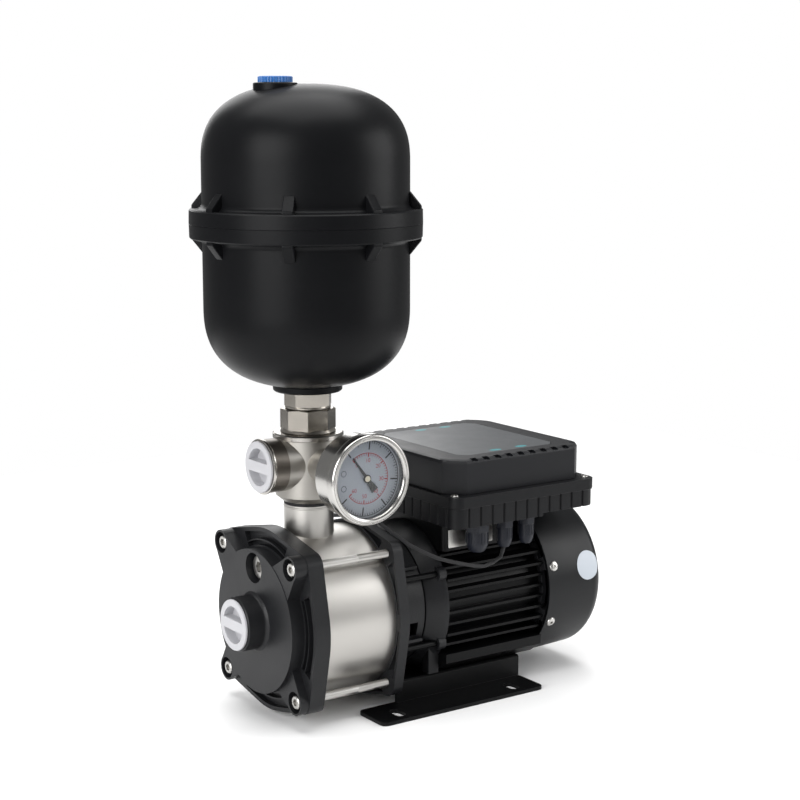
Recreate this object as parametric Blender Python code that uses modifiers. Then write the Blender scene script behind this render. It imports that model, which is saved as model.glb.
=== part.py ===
"""Horizontal multistage pump set with a pressure tank, a gauge and a box-mounted speed drive.

Stations along the shaft (X) are measured from the outlet axis and heights (Z) from the shaft axis.
The empty "shaft_frame" carries every piece and stands the set on z = 0, centred on its length.
"""
import bpy
import bmesh
from math import acos, asin, cos, pi, radians, sin, sqrt
from mathutils import Matrix, Vector

# Clearances
GAP = 0.0003
RUNNING_GAP = 0.0004
SPIGOT_GAP = 0.0006
OVERLAP = 0.001

# Facets of round pieces
COARSE = 8
SMALL = 12
MEDIUM = 16
BROAD = 20
LARGE = 24

# Casing and sleeve
SHAFT_HEIGHT = 0.075
OUTLET_FROM_COVER = 0.0257
SLEEVE_EXPOSED = 0.0631
SLEEVE_R = 0.065
SLEEVE_WALL = 0.0012
SLEEVE_ENGAGE = 0.005
NECK_R = 0.0193
NECK_WALL = 0.0015
NECK_TOP = 0.0872
SEAL_SECTION = 0.0012

# Cast outline shared by the suction cover and the motor bracket
CASTING_R = 0.0714
LUG_R = 0.0104
BOLT_OFFSET = 0.05145

# Suction cover
RIM_DEPTH = 0.0133
DISC_R = 0.0559
DISC_RISE = 0.011
COVER_WALL = 0.006
CHAMBER_R = 0.051
SPIGOT_R = 0.021
SPIGOT_LENGTH = 0.0166
PORT_BORE_R = 0.0166
PAD_SPREAD = radians(17)
LOWER_PAD_RISE = 0.007
POCKET_DEPTH = 0.0040
POCKET_SPREAD = radians(26)
POCKET_RIM = 0.0040
POCKET_RIB = 0.0016
POCKET_STEP_R = 0.0606
PAD_SETBACK = 0.0004
COUNTERBORE_R = 0.0084
PRIMING_HEIGHT = 0.042
PRIMING_R = 0.0118
PRIMING_DEPTH = 0.013
PRIMING_LENGTH = 0.0055
PRIMING_THREAD_R = 0.0064
PRIMING_HEAD_R = 0.0092
PRIMING_HEAD = 0.003
PRIMING_SOCKET_R = 0.0045

# Port plugs
PLUG_BRIM_R = 0.0197
PLUG_BRIM = 0.0019
PLUG_LENGTH = 0.0105
PLUG_RECESS_R = 0.0144
PLUG_RECESS = 0.008
PLUG_BAR = 0.0042

# Tie bolts
BOLT_R = 0.0033
BOLT_HEAD_R = 0.0052
BOLT_HEAD = 0.006
BOLT_SOCKET_R = 0.0029
BOLT_ENGAGE = 0.0068

# Stages
STAGES = 3
STAGE_PITCH = 0.018
BOWL_CLEAR = 0.0088
BOWL_WALL = 0.0015
EYE_R = 0.0169
IMPELLER_CLEAR = 0.0085
SHROUD = 0.0012
IMPELLER_WIDTH = 0.0077
HUB_R = 0.0094
VANES = 6
VANE = 0.0015

# Shaft
SHAFT_R = 0.007
JOURNAL_R = 0.0082
ROTOR_SEAT_R = 0.011
REAR_JOURNAL_R = 0.0072
FAN_SEAT_R = 0.0058
NUT_R = 0.0085
NUT_LENGTH = 0.006

# Motor bracket
FLANGE_DEPTH = 0.0085
LANTERN_R = 0.053
LANTERN_LENGTH = 0.0281
LANTERN_WALL = 0.005
SHIELD_LENGTH = 0.017
SHIELD_R = 0.061
SPIGOT_DEPTH = 0.005
WINDOW_RIM = 0.0026
WINDOW_WEB = 0.0065
SEAL_POCKET_R = 0.0153
SEAL_POCKET = 0.0043
WEB_PROUD = 0.0006
LANTERN_WINDOW_Z = (-0.019, -0.008)
LANTERN_RIBS_Z = (0.034, -0.0225)
LANTERN_RIB_PROUD = 0.0045
LANTERN_RIB = 0.0022
STUD_Y = 0.052
STUD_Z = 0.028
STUD_R = 0.0025
STUD_LUG_R = 0.0056
STUD_LUG = 0.007
FOOT_Y = 0.0425
FOOT_WIDTH = 0.009
FOOT_TOP = -0.030

# Bearings, radii and widths
FRONT_BEARING_R = 0.020
FRONT_BEARING_W = 0.012
REAR_BEARING_R = 0.016
REAR_BEARING_W = 0.0095

# Motor frame and active parts
FRAME_LENGTH = 0.0964
FRAME_BORE_R = 0.050
FRAME_WALL = 0.0025
FIN_REACH = 0.058
FIN_PITCH = 0.00887
FIN_TOP_Z = 0.0404
FINS = 9
FIN_HALF = 0.0011
UPPER_FIN_R = 0.062
SKID_TOP_Z = -0.038
SKID_SIDE_Z = -0.0455
SKID_HALF = 0.0565
SKID_FOOT_HALF = 0.043
STATOR_BORE_R = 0.0306
STATOR_LENGTH = 0.070
WINDING_R = 0.0445
WINDING_BORE_R = 0.033
WINDING_OVERHANG = 0.0065
ROTOR_AIR_GAP = 0.0005

# Fan end
FAN_R = 0.054
FAN_HUB_R = 0.012
FAN_HUB_LENGTH = 0.016
FAN_DISC = 0.0018
FAN_BLADES = 7
FAN_COVER_R = 0.066
FAN_COVER_LENGTH = 0.0597
FAN_COVER_WALL = 0.0022
COVER_LUG_Z = 0.0235
COVER_LUG_LENGTH = 0.010

# Base bracket, a folded sheet
BASE_SHEET = 0.003
BASE_FLANGE_OUT = 0.080
BASE_WEB_Y = 0.0467
BASE_FRONT = 0.0158
BASE_LENGTH = 0.1564
PLATFORM_HEIGHT = 0.0203
PLATFORM_SETBACK = 0.035
BASE_CORNER_R = 0.005
SLOT_WIDTH = 0.009
SLOT_LENGTH = 0.016
SLOT_Y = 0.0655
SLOT_INSET = 0.0225

# Terminal base under the drive
TERMINAL_FRONT = 0.0918
TERMINAL_LENGTH = 0.058
TERMINAL_HALF = 0.051
TERMINAL_LOW = 0.044
PLATE_LENGTH = 0.0435
PLATE_HEIGHT = 0.0145
PLATE_THICKNESS = 0.0006
PLATE_LOW = 0.0470

# Drive box
BOX_FRONT = 0.081
BOX_LENGTH = 0.143
BOX_HALF = 0.081
BOX_LOW = 0.0685
BOX_HEIGHT = 0.025
BOX_STEP = 0.0025
DECK_MARGIN = 0.0010
BOX_STEP_AT = 0.088
BOX_WALL = 0.003
BOX_CORNER = 0.008
LIP_HEIGHT = 0.0090
LIP_PROUD = 0.0012
GROOVE_PITCH = 0.0114
GROOVE_WIDTH = 0.0018
LID_FRONT_INSET = 0.003
LID_REAR_INSET = 0.004
LID_SIDE_INSET = 0.0075
LID_HEIGHT = 0.0270
LID_CORNER = 0.014
LID_EDGE = 0.0035
TOOTH_WIDTH = 0.0055
TOOTH_DEPTH = 0.0020
LABEL_MARGIN_X = 0.020
LABEL_MARGIN_Y = 0.0155
LABEL_RECESS = 0.0008
BOARD_THICKNESS = 0.0016
POST_HEIGHT = 0.008
POST_R = 0.003
CAPACITOR_R = 0.009
CAPACITOR_HEIGHT = 0.022
CAPACITOR_INSET = 0.014
CAPACITOR_PITCH = 0.024
SINK_LENGTH = 0.038
SINK_HALF = 0.030
SINK_BASE = 0.005
SINK_HEIGHT = 0.018
SINK_FIN = 0.0024
SINK_FIN_PITCH = 0.011
SINK_FINS = 6

# Cable glands
GLAND_INSET = 0.018
GLAND_LENGTH = 0.0237
GLAND_XS = (0.116, 0.143, 0.165)
GLAND_RADII = (0.0093, 0.0068, 0.0066)

# Sensor lead, its route is listed in sensor_lead
LEAD_R = 0.0015
LEAD_SPACING = 0.009

# Outlet fitting
FITTING_BODY_R = 0.0255
FITTING_COLLAR_R = 0.0273
FITTING_COLLAR = 0.0045
FITTING_HEIGHT = 0.0492
FITTING_BORE_R = 0.0170
PORT_RISE = 0.0300
PORT_R = 0.0206
PORT_ROOT_R = 0.0188
PORT_RIM_R = 0.0214
PORT_RIM = 0.0025
OUTLET_REACH = 0.0428
SENSOR_REACH = 0.034
SENSOR_PORT_R = 0.0155
GAUGE_PORT_REACH = 0.038
GAUGE_PORT_R = 0.014
FITTING_RING = 0.0020

# Pressure sensor
SENSOR_HEX_R = 0.0125
SENSOR_HEX = 0.009
SENSOR_BODY_R = 0.0090
SENSOR_BODY = 0.016
SENSOR_TAIL = 0.005
SENSOR_THREAD_R = 0.0064

# Pressure gauge, depths are measured towards the viewer
GAUGE_FRONT = 0.0882
GAUGE_BEZEL_R = 0.0342
GAUGE_BEZEL_DEPTH = 0.0087
GAUGE_CASE_R = 0.0312
GAUGE_CASE_DEPTH = 0.0265
GAUGE_CASE_WALL = 0.0012
GAUGE_LIP_R = 0.0290
GAUGE_LIP = 0.0017
GAUGE_LENS = 0.0019
GAUGE_DIAL = 0.0008
DIAL_SETBACK = 0.0040
GAUGE_BACKING = 0.008
GAUGE_STEM_R = 0.0064
GAUGE_HEX_R = 0.0095
NEEDLE_LENGTH = 0.0205
NEEDLE_TAIL = 0.0105
NEEDLE_WIDTH = 0.0016
NEEDLE_THICKNESS = 0.0006
NEEDLE_HUB_R = 0.0031
ARBOR_R = 0.0009
NEEDLE_REST = radians(126)

# Union nut and tank adapter
NUT_SIDES = 8
UNION_CORNER = radians(13.3)
ADAPTER_CORNER = radians(27.8)
UNION_NUT_R = 0.0213
UNION_STAND = 0.0040
UNION_HEIGHT = 0.0230
UNION_SEAT_R = 0.0225
TAIL_ENGAGE = 0.010
ADAPTER_NUT_R = 0.0186
ADAPTER_NUT = 0.0072
ADAPTER_RING = 0.0012
ADAPTER_RING_R = 0.0176
ADAPTER_BORE_R = 0.0100
ADAPTER_THREAD_R = 0.0145
ADAPTER_REACH = 0.010

# Tank
TANK_HEIGHT = 0.2311
TANK_NECK_R = 0.0265
TANK_NECK_HEIGHT = 0.0045
TANK_R = 0.0784
LOWER_DOME = 0.062
UPPER_DOME = 0.0574
DOME_EXPONENT = 2.5
DOME_STEPS = 8
TANK_WALL = 0.0035
BAND_PROUD = 0.0098
BAND_RISE = 0.1168
BAND_HEIGHT = 0.0221
BAND_FILLET = 0.0065
GUSSETS = 8
GUSSET_HEIGHT = 0.0130
GUSSET_WIDTH = 0.0070
MEMBRANE_WALL = 0.0015
NECK_LIP = 0.008
MEMBRANE_CLEAR = 0.0040
CAP_X = -0.0258
CAP_R = 0.0130
CAP_HEIGHT = 0.0045
CAP_SKIRT = 0.0016
BOSS_R = 0.0165
BOSS_PROUD = 0.0005
BOSS_DEPTH = 0.014
VALVE_R = 0.0038
VALVE_LENGTH = 0.016

# Stations that follow from the sizes above
COVER_REAR = -OUTLET_FROM_COVER
RIM_FRONT = COVER_REAR - RIM_DEPTH
DISC_FRONT = RIM_FRONT - DISC_RISE
SPIGOT_END = DISC_FRONT - SPIGOT_LENGTH
SLEEVE_FRONT = COVER_REAR - SLEEVE_ENGAGE
SLEEVE_SEAT = SLEEVE_FRONT - GAP
BELL_FRONT = COVER_REAR + SLEEVE_EXPOSED
SLEEVE_REAR = BELL_FRONT + SLEEVE_ENGAGE - OVERLAP
BELL_SEAT = SLEEVE_REAR + GAP
FLANGE_REAR = BELL_FRONT + FLANGE_DEPTH
LANTERN_REAR = FLANGE_REAR + LANTERN_LENGTH
SHIELD_REAR = LANTERN_REAR + SHIELD_LENGTH
FRAME_FRONT = SHIELD_REAR + GAP
FRAME_REAR = FRAME_FRONT + FRAME_LENGTH
FAN_COVER_FRONT = FRAME_REAR + 2 * GAP
FAN_COVER_REAR = FAN_COVER_FRONT + FAN_COVER_LENGTH
STATOR_FRONT = FRAME_FRONT + 0.009
FRONT_BEARING_FRONT = SHIELD_REAR - FRONT_BEARING_W - 0.0005
REAR_BEARING_FRONT = FRAME_REAR + 0.001
FITTING_LOW = NECK_TOP + FITTING_RING + 2 * GAP
FITTING_TOP = FITTING_LOW + FITTING_HEIGHT
PORT_Z = FITTING_LOW + PORT_RISE
UNION_LOW = FITTING_TOP + UNION_STAND
ADAPTER_LOW = UNION_LOW + UNION_HEIGHT + GAP
ADAPTER_NUT_LOW = ADAPTER_LOW + ADAPTER_RING
TANK_BOTTOM = ADAPTER_NUT_LOW + ADAPTER_NUT + GAP
TANK_TOP = TANK_BOTTOM + TANK_HEIGHT
BAND_R = TANK_R + BAND_PROUD
BAND_LOW = TANK_BOTTOM + BAND_RISE
BAND_HIGH = BAND_LOW + BAND_HEIGHT
BAND_SPLIT = (BAND_LOW + BAND_HIGH) / 2
BOSS_TOP = TANK_TOP + BOSS_PROUD
GLAND_BORE_R = LEAD_R + GAP
HEAD_SEAT = RIM_FRONT - GAP
PLATFORM_Z = PLATFORM_HEIGHT - SHAFT_HEIGHT
BORE_CLEAR_R = SLEEVE_R + GAP
EYE_BORE_R = EYE_R + 2 * RUNNING_GAP
BOX_TOP = BOX_LOW + BOX_HEIGHT
BOX_REAR = BOX_FRONT + BOX_LENGTH
LID_LOW = BOX_TOP + GAP
LID_TOP = LID_LOW + LID_HEIGHT
LID_FRONT = BOX_FRONT + LID_FRONT_INSET
LID_REAR = BOX_REAR - LID_REAR_INSET
LID_HALF = BOX_HALF - LID_SIDE_INSET
LABEL_HALF = LID_HALF - LABEL_MARGIN_Y
GLAND_Y = GLAND_INSET - BOX_HALF
BOWL_R = SLEEVE_R - SLEEVE_WALL - BOWL_CLEAR
IMPELLER_R = BOWL_R - BOWL_WALL - IMPELLER_CLEAR
CENTRE_SHIFT = (BAND_R - FAN_COVER_REAR) / 2

# Turning these local axes brings a local Z axis to the named direction
AXIS_TURN = {"X": (0.0, pi / 2, 0.0), "Z": (0.0, 0.0, 0.0), "-Y": (pi / 2, 0.0, 0.0)}
PLANE_TURN = {"YZ": (pi / 2, 0.0, pi / 2), "XZ": (pi / 2, 0.0, 0.0), "XY": (0.0, 0.0, 0.0)}


# Scene set-up

def clear_scene():
    for item in list(bpy.data.objects):
        bpy.data.objects.remove(item, do_unlink=True)


def new_collection(name):
    collection = bpy.data.collections.new(name)
    bpy.context.scene.collection.children.link(collection)
    return collection


def new_material(name, colour, roughness, metallic=0.0, alpha=1.0):
    material = bpy.data.materials.new(name)
    material.use_nodes = True
    shader = material.node_tree.nodes["Principled BSDF"]
    shader.inputs["Base Color"].default_value = (*colour, 1.0)
    shader.inputs["Roughness"].default_value = roughness
    shader.inputs["Metallic"].default_value = metallic
    shader.inputs["Alpha"].default_value = alpha
    return material


clear_scene()
PUMP = new_collection("multistage_pump")
CUTTERS = new_collection("cutters")
FRAME = bpy.data.objects.new("shaft_frame", None)
FRAME.location = (CENTRE_SHIFT, 0.0, SHAFT_HEIGHT)
PUMP.objects.link(FRAME)

CAST_BLACK = new_material("cast_black", (0.030, 0.031, 0.033), 0.50)
PAINT_BLACK = new_material("paint_black", (0.022, 0.022, 0.024), 0.45)
STAINLESS = new_material("stainless", (0.56, 0.54, 0.50), 0.34, 1.0)
BRIGHT_STEEL = new_material("bright_steel", (0.72, 0.71, 0.68), 0.20, 1.0)
NICKEL = new_material("nickel", (0.66, 0.61, 0.54), 0.25, 1.0)
DARK_STEEL = new_material("dark_steel", (0.18, 0.18, 0.18), 0.40, 1.0)
WHITE_PLASTIC = new_material("white_plastic", (0.86, 0.86, 0.88), 0.35)
BLACK_PLASTIC = new_material("black_plastic", (0.018, 0.018, 0.020), 0.42)
GREY_PLASTIC = new_material("grey_plastic", (0.060, 0.062, 0.066), 0.45)
LABEL_GREY = new_material("label_grey", (0.110, 0.118, 0.122), 0.40)
TANK_BLACK = new_material("tank_black", (0.016, 0.016, 0.017), 0.48)
BLUE_CAP = new_material("blue_cap", (0.02, 0.10, 0.52), 0.40)
RUBBER = new_material("rubber", (0.012, 0.012, 0.012), 0.75)
CARBON = new_material("carbon", (0.030, 0.030, 0.032), 0.55)
COPPER = new_material("copper", (0.62, 0.28, 0.14), 0.35, 1.0)
BOARD_GREEN = new_material("board_green", (0.03, 0.16, 0.08), 0.45)
DIAL_PAINT = new_material("dial_paint", (0.62, 0.64, 0.68), 0.55)
CLEAR_GLASS = new_material("clear_glass", (0.92, 0.95, 0.96), 0.04, 0.0, 0.35)


# Modelling helpers

def place(name, mesh, material, location, turn):
    item = bpy.data.objects.new(name, mesh)
    item.location = location
    item.rotation_euler = turn
    item.parent = FRAME
    if material is None:
        CUTTERS.objects.link(item)
        hide_cutter(item)
    else:
        mesh.materials.append(material)
        PUMP.objects.link(item)
    return item


def hide_cutter(item):
    item.hide_render = True
    item.display_type = "WIRE"


def turned(name, outline, material=None, axis="X", location=(0.0, 0.0, 0.0), facets=LARGE):
    """Turn (station, radius) points about an axis; an outline that never meets the axis makes a ring."""
    points = [(radius, station) for station, radius in outline]
    following = points[1:] + points[:1]
    turning = sum(a[0] * b[1] - b[0] * a[1] for a, b in zip(points, following))
    if turning > 0:
        points.reverse()
    start = next((i for i in range(len(points)) if points[i - 1][0] == 0.0 and points[i][0] == 0.0), None)
    ring = start is None
    if not ring:
        points = points[start:] + points[:start]
    edges = [(i, i + 1) for i in range(len(points) - 1)]
    if ring:
        edges.append((len(points) - 1, 0))
    mesh = bpy.data.meshes.new(name)
    mesh.from_pydata([(radius, 0.0, station) for radius, station in points], edges, [])
    item = place(name, mesh, material, location, AXIS_TURN[axis])
    screw = item.modifiers.new("turn", "SCREW")
    screw.steps = facets
    screw.render_steps = facets
    screw.use_merge_vertices = True
    screw.merge_threshold = 0.00001
    screw.use_smooth_shade = True
    return item


def cylinder(name, radius, start, end, material=None, axis="X", location=(0.0, 0.0, 0.0), facets=MEDIUM):
    """A round bar between two stations on an axis through the location."""
    shape = bmesh.new()
    bmesh.ops.create_cone(shape, cap_ends=True, segments=facets, radius1=radius, radius2=radius,
                          depth=end - start)
    bmesh.ops.translate(shape, vec=(0.0, 0.0, (start + end) / 2), verts=shape.verts)
    return from_shape(name, shape, material, location, AXIS_TURN[axis])


def box(name, low, high, material=None):
    """A block between two corners."""
    shape = bmesh.new()
    add_block(shape, low, high)
    return from_shape(name, shape, material, (0.0, 0.0, 0.0), (0.0, 0.0, 0.0))


def add_block(shape, low, high, turn=None):
    """Add a block to a shape, turned about the origin by a matrix where one is given."""
    made = bmesh.ops.create_cube(shape, size=1.0)["verts"]
    size = Vector(high) - Vector(low)
    bmesh.ops.scale(shape, vec=size, verts=made)
    bmesh.ops.translate(shape, vec=(Vector(high) + Vector(low)) / 2, verts=made)
    if turn is not None:
        bmesh.ops.transform(shape, matrix=turn, verts=made)


def from_shape(name, shape, material, location, turn):
    mesh = bpy.data.meshes.new(name)
    shape.to_mesh(mesh)
    shape.free()
    return place(name, mesh, material, location, turn)


def prism(name, outlines, start, end, material=None, plane="YZ"):
    """Flat outlines, the inner ones holes, drawn out between two levels of their plane's normal."""
    normal = {"YZ": (1, 0, 0), "XZ": (0, -1, 0), "XY": (0, 0, 1)}[plane]
    curve = bpy.data.curves.new(name, "CURVE")
    curve.dimensions = "2D"
    curve.fill_mode = "BOTH"
    curve.extrude = abs(end - start) / 2
    for outline in outlines:
        spline = curve.splines.new("POLY")
        spline.points.add(len(outline) - 1)
        for point, (u, v) in zip(spline.points, outline):
            point.co = (u, v, 0.0, 1.0)
        spline.use_cyclic_u = True
    drawn = bpy.data.objects.new(name + "_outline", curve)
    middle = Vector(normal) * (start + end) / 2
    return place(name, curve_mesh(drawn), material, middle, PLANE_TURN[plane])


def curve_mesh(drawn):
    """The welded mesh of a curve object, which is removed."""
    PUMP.objects.link(drawn)
    bpy.context.view_layer.update()
    mesh = bpy.data.meshes.new_from_object(drawn.evaluated_get(bpy.context.evaluated_depsgraph_get()))
    bpy.data.objects.remove(drawn, do_unlink=True)
    shape = bmesh.new()
    shape.from_mesh(mesh)
    bmesh.ops.remove_doubles(shape, verts=shape.verts, dist=0.00001)
    bmesh.ops.recalc_face_normals(shape, faces=shape.faces)
    shape.to_mesh(mesh)
    shape.free()
    return mesh


def combine(target, tools, operation):
    for tool in tools:
        step = target.modifiers.new(operation.lower(), "BOOLEAN")
        step.object = tool
        step.operation = operation
        step.solver = "EXACT"


def cut(target, *tools):
    combine(target, tools, "DIFFERENCE")


def join(target, *tools):
    combine(target, tools, "UNION")


def finished_mesh(item):
    """The mesh of an object with its modifiers worked in, for copies that share it."""
    bpy.context.view_layer.update()
    mesh = bpy.data.meshes.new_from_object(item.evaluated_get(bpy.context.evaluated_depsgraph_get()))
    for tool in [step.object for step in item.modifiers if step.type == "BOOLEAN"]:
        bpy.data.objects.remove(tool, do_unlink=True)
    bpy.data.objects.remove(item, do_unlink=True)
    return mesh


def copies(prefix, mesh, stations, turn, material):
    mesh.materials.clear()
    for number, location in enumerate(stations, start=1):
        item = bpy.data.objects.new(f"{prefix}_{number}", mesh)
        item.location = location
        item.rotation_euler = turn
        item.parent = FRAME
        PUMP.objects.link(item)
    mesh.materials.append(material)


# Outlines

def arc(centre, radius, start, end, steps):
    return [(centre[0] + radius * cos(start + (end - start) * i / steps),
             centre[1] + radius * sin(start + (end - start) * i / steps)) for i in range(steps + 1)]


def circle(radius, steps, centre=(0.0, 0.0)):
    return arc(centre, radius, 0.0, 2 * pi * (steps - 1) / steps, steps - 1)


def lugged_outline(main_r, lug_r, offset, lug_steps=4, side_steps=2):
    """A circle and four corner lugs joined by their common tangents."""
    spread = acos((main_r - lug_r) / (offset * sqrt(2)))
    points = []
    for corner in range(4):
        middle = pi / 4 + corner * pi / 2
        centre = (offset * sqrt(2) * cos(middle), offset * sqrt(2) * sin(middle))
        points += arc(centre, lug_r, middle - spread, middle + spread, lug_steps)
        points += arc((0.0, 0.0), main_r, middle + spread, middle + pi / 2 - spread, side_steps)
    return points


def sector(inner, outer, middle, spread, steps=4):
    return (arc((0.0, 0.0), outer, middle - spread, middle + spread, steps)
            + arc((0.0, 0.0), inner, middle + spread, middle - spread, steps))


def rounded_rectangle(low, high, radius, steps=3):
    corners = [(high[0] - radius, low[1] + radius, -pi / 2), (high[0] - radius, high[1] - radius, 0.0),
               (low[0] + radius, high[1] - radius, pi / 2), (low[0] + radius, low[1] + radius, pi)]
    points = []
    for u, v, start in corners:
        points += arc((u, v), radius, start, start + pi / 2, steps)
    return points


def bolt_places():
    return [(side * BOLT_OFFSET, height * BOLT_OFFSET) for height in (1, -1) for side in (-1, 1)]


# Suction end

def suction_cover():
    cover = prism("suction_cover", [lugged_outline(CASTING_R, LUG_R, BOLT_OFFSET)],
                  RIM_FRONT, COVER_REAR, CAST_BLACK)
    pockets = []
    for side in range(4):
        pockets.append(sector(DISC_R + POCKET_RIB, POCKET_STEP_R, side * pi / 2, POCKET_SPREAD))
        pockets.append(sector(POCKET_STEP_R + POCKET_RIB, CASTING_R - POCKET_RIM, side * pi / 2,
                              POCKET_SPREAD))
    join(cover, cylinder("disc_tool", DISC_R, DISC_FRONT, RIM_FRONT + OVERLAP, facets=LARGE),
         cylinder("spigot_tool", SPIGOT_R, SPIGOT_END, DISC_FRONT + OVERLAP, facets=LARGE))
    reach = BOLT_OFFSET * sqrt(2)
    inside = DISC_R - 2 * OVERLAP
    for number, (side, height) in enumerate(bolt_places()):
        middle = pi / 4 if side > 0 else 3 * pi / 4
        middle = middle if height > 0 else -middle
        front = DISC_FRONT + PAD_SETBACK if height > 0 else RIM_FRONT - LOWER_PAD_RISE
        centre = (reach * cos(middle), reach * sin(middle))
        pad = arc(centre, LUG_R - PAD_SETBACK, middle - pi / 2, middle + pi / 2, 4)
        pad += arc((0.0, 0.0), inside, middle + PAD_SPREAD, middle - PAD_SPREAD, 2)
        join(cover, prism(f"pad_tool_{number}", [pad], front, RIM_FRONT + OVERLAP))
    cut(cover, prism("pocket_cutter", pockets, DISC_FRONT - OVERLAP, RIM_FRONT + POCKET_DEPTH))
    chamber_front = DISC_FRONT + COVER_WALL
    cut(cover, turned("chamber_cutter", [(COVER_REAR + OVERLAP, 0.0), (COVER_REAR + OVERLAP, BORE_CLEAR_R),
                                         (SLEEVE_SEAT, BORE_CLEAR_R), (SLEEVE_SEAT, CHAMBER_R),
                                         (chamber_front, CHAMBER_R), (chamber_front, 0.0)]))
    recess_floor = DISC_FRONT + PRIMING_DEPTH
    boss_rear = recess_floor + PRIMING_LENGTH
    priming = (0.0, 0.0, PRIMING_HEIGHT)
    join(cover, cylinder("priming_boss_tool", PRIMING_R + 0.002, chamber_front - OVERLAP, boss_rear,
                         location=priming))
    cut(cover, cylinder("priming_recess_cutter", PRIMING_R, DISC_FRONT - OVERLAP, recess_floor,
                        location=priming),
        cylinder("priming_bore_cutter", PRIMING_THREAD_R + GAP, DISC_FRONT, boss_rear + OVERLAP,
                 location=priming),
        cylinder("suction_bore_cutter", PORT_BORE_R, SPIGOT_END - OVERLAP, chamber_front + OVERLAP,
                 facets=LARGE))
    for number, (y, z) in enumerate(bolt_places()):
        cut(cover, cylinder(f"counterbore_cutter_{number}", COUNTERBORE_R, DISC_FRONT - OVERLAP, RIM_FRONT,
                            location=(0.0, y, z), facets=SMALL),
            cylinder(f"bolt_hole_cutter_{number}", BOLT_R + GAP, HEAD_SEAT - OVERLAP, COVER_REAR + OVERLAP,
                     location=(0.0, y, z), facets=COARSE))


def priming_plug():
    floor = DISC_FRONT + PRIMING_DEPTH
    seat = floor - GAP
    plug = turned("priming_plug", [(seat - PRIMING_HEAD, 0.0), (seat - PRIMING_HEAD, PRIMING_HEAD_R - 0.001),
                                   (seat - PRIMING_HEAD + 0.001, PRIMING_HEAD_R), (seat, PRIMING_HEAD_R),
                                   (seat, PRIMING_THREAD_R), (floor + PRIMING_LENGTH, PRIMING_THREAD_R),
                                   (floor + PRIMING_LENGTH, 0.0)],
                  BRIGHT_STEEL, location=(0.0, 0.0, PRIMING_HEIGHT), facets=MEDIUM)
    cut(plug, cylinder("priming_socket_cutter", PRIMING_SOCKET_R, seat - PRIMING_HEAD - OVERLAP,
                       seat + PRIMING_HEAD, location=(0.0, 0.0, PRIMING_HEIGHT), facets=6))


def port_plug(name, port_end, height):
    """A screwed plug whose face has two half-round recesses and a grip bar between them."""
    seat = port_end - GAP
    face = seat - PLUG_BRIM
    plug = turned(name, [(face, 0.0), (face, PLUG_BRIM_R - 0.0006), (face + 0.0006, PLUG_BRIM_R),
                         (seat, PLUG_BRIM_R), (seat, PORT_BORE_R - RUNNING_GAP),
                         (seat + PLUG_LENGTH, PORT_BORE_R - RUNNING_GAP), (seat + PLUG_LENGTH, 0.0)],
                  WHITE_PLASTIC, location=(0.0, 0.0, height), facets=BROAD)
    half = asin(PLUG_BAR / PLUG_RECESS_R)
    moons = [[(y, height + z) for y, z in arc((0.0, 0.0), PLUG_RECESS_R, half + turn, pi - half + turn, 8)]
             for turn in (0.0, pi)]
    cut(plug, prism(name + "_recess_cutter", moons, face - OVERLAP, face + PLUG_RECESS))


def pump_sleeve():
    sleeve = cylinder("pump_sleeve", SLEEVE_R, SLEEVE_FRONT, SLEEVE_REAR, STAINLESS, facets=LARGE)
    join(sleeve, cylinder("neck_tool", NECK_R, 0.0, NECK_TOP, axis="Z", facets=BROAD))
    cut(sleeve, cylinder("sleeve_bore_cutter", SLEEVE_R - SLEEVE_WALL, SLEEVE_FRONT - OVERLAP,
                         SLEEVE_REAR + OVERLAP, facets=LARGE),
        cylinder("neck_bore_cutter", NECK_R - NECK_WALL, SLEEVE_R / 2, NECK_TOP + OVERLAP, axis="Z",
                 facets=BROAD))


def ring_seal(name, centre, radius, section, material, axis="X", facets=LARGE):
    outline = [(centre + section * cos(pi * i / 3), radius + section * sin(pi * i / 3)) for i in range(6)]
    turned(name, outline, material, axis=axis, facets=facets)


def sleeve_seals():
    radius = SLEEVE_R - SLEEVE_WALL - GAP - SEAL_SECTION
    ring_seal("sleeve_seal_front", SLEEVE_SEAT + GAP + SEAL_SECTION, radius, SEAL_SECTION, RUBBER)
    ring_seal("sleeve_seal_rear", BELL_SEAT - GAP - SEAL_SECTION, radius, SEAL_SECTION, RUBBER)


def tie_bolts():
    head_front = HEAD_SEAT - BOLT_HEAD
    bolt = turned("tie_bolt", [(head_front, 0.0), (head_front, BOLT_HEAD_R - 0.0006),
                               (head_front + 0.0006, BOLT_HEAD_R), (HEAD_SEAT, BOLT_HEAD_R),
                               (HEAD_SEAT, BOLT_R),
                               (BELL_FRONT + BOLT_ENGAGE, BOLT_R), (BELL_FRONT + BOLT_ENGAGE, 0.0)],
                  BRIGHT_STEEL, facets=SMALL)
    cut(bolt, cylinder("socket_cutter", BOLT_SOCKET_R, head_front - OVERLAP, head_front + BOLT_HEAD / 2,
                       facets=6))
    copies("tie_bolt", finished_mesh(bolt), [(0.0, y, z) for y, z in bolt_places()], AXIS_TURN["X"],
           BRIGHT_STEEL)


# Stages

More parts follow.
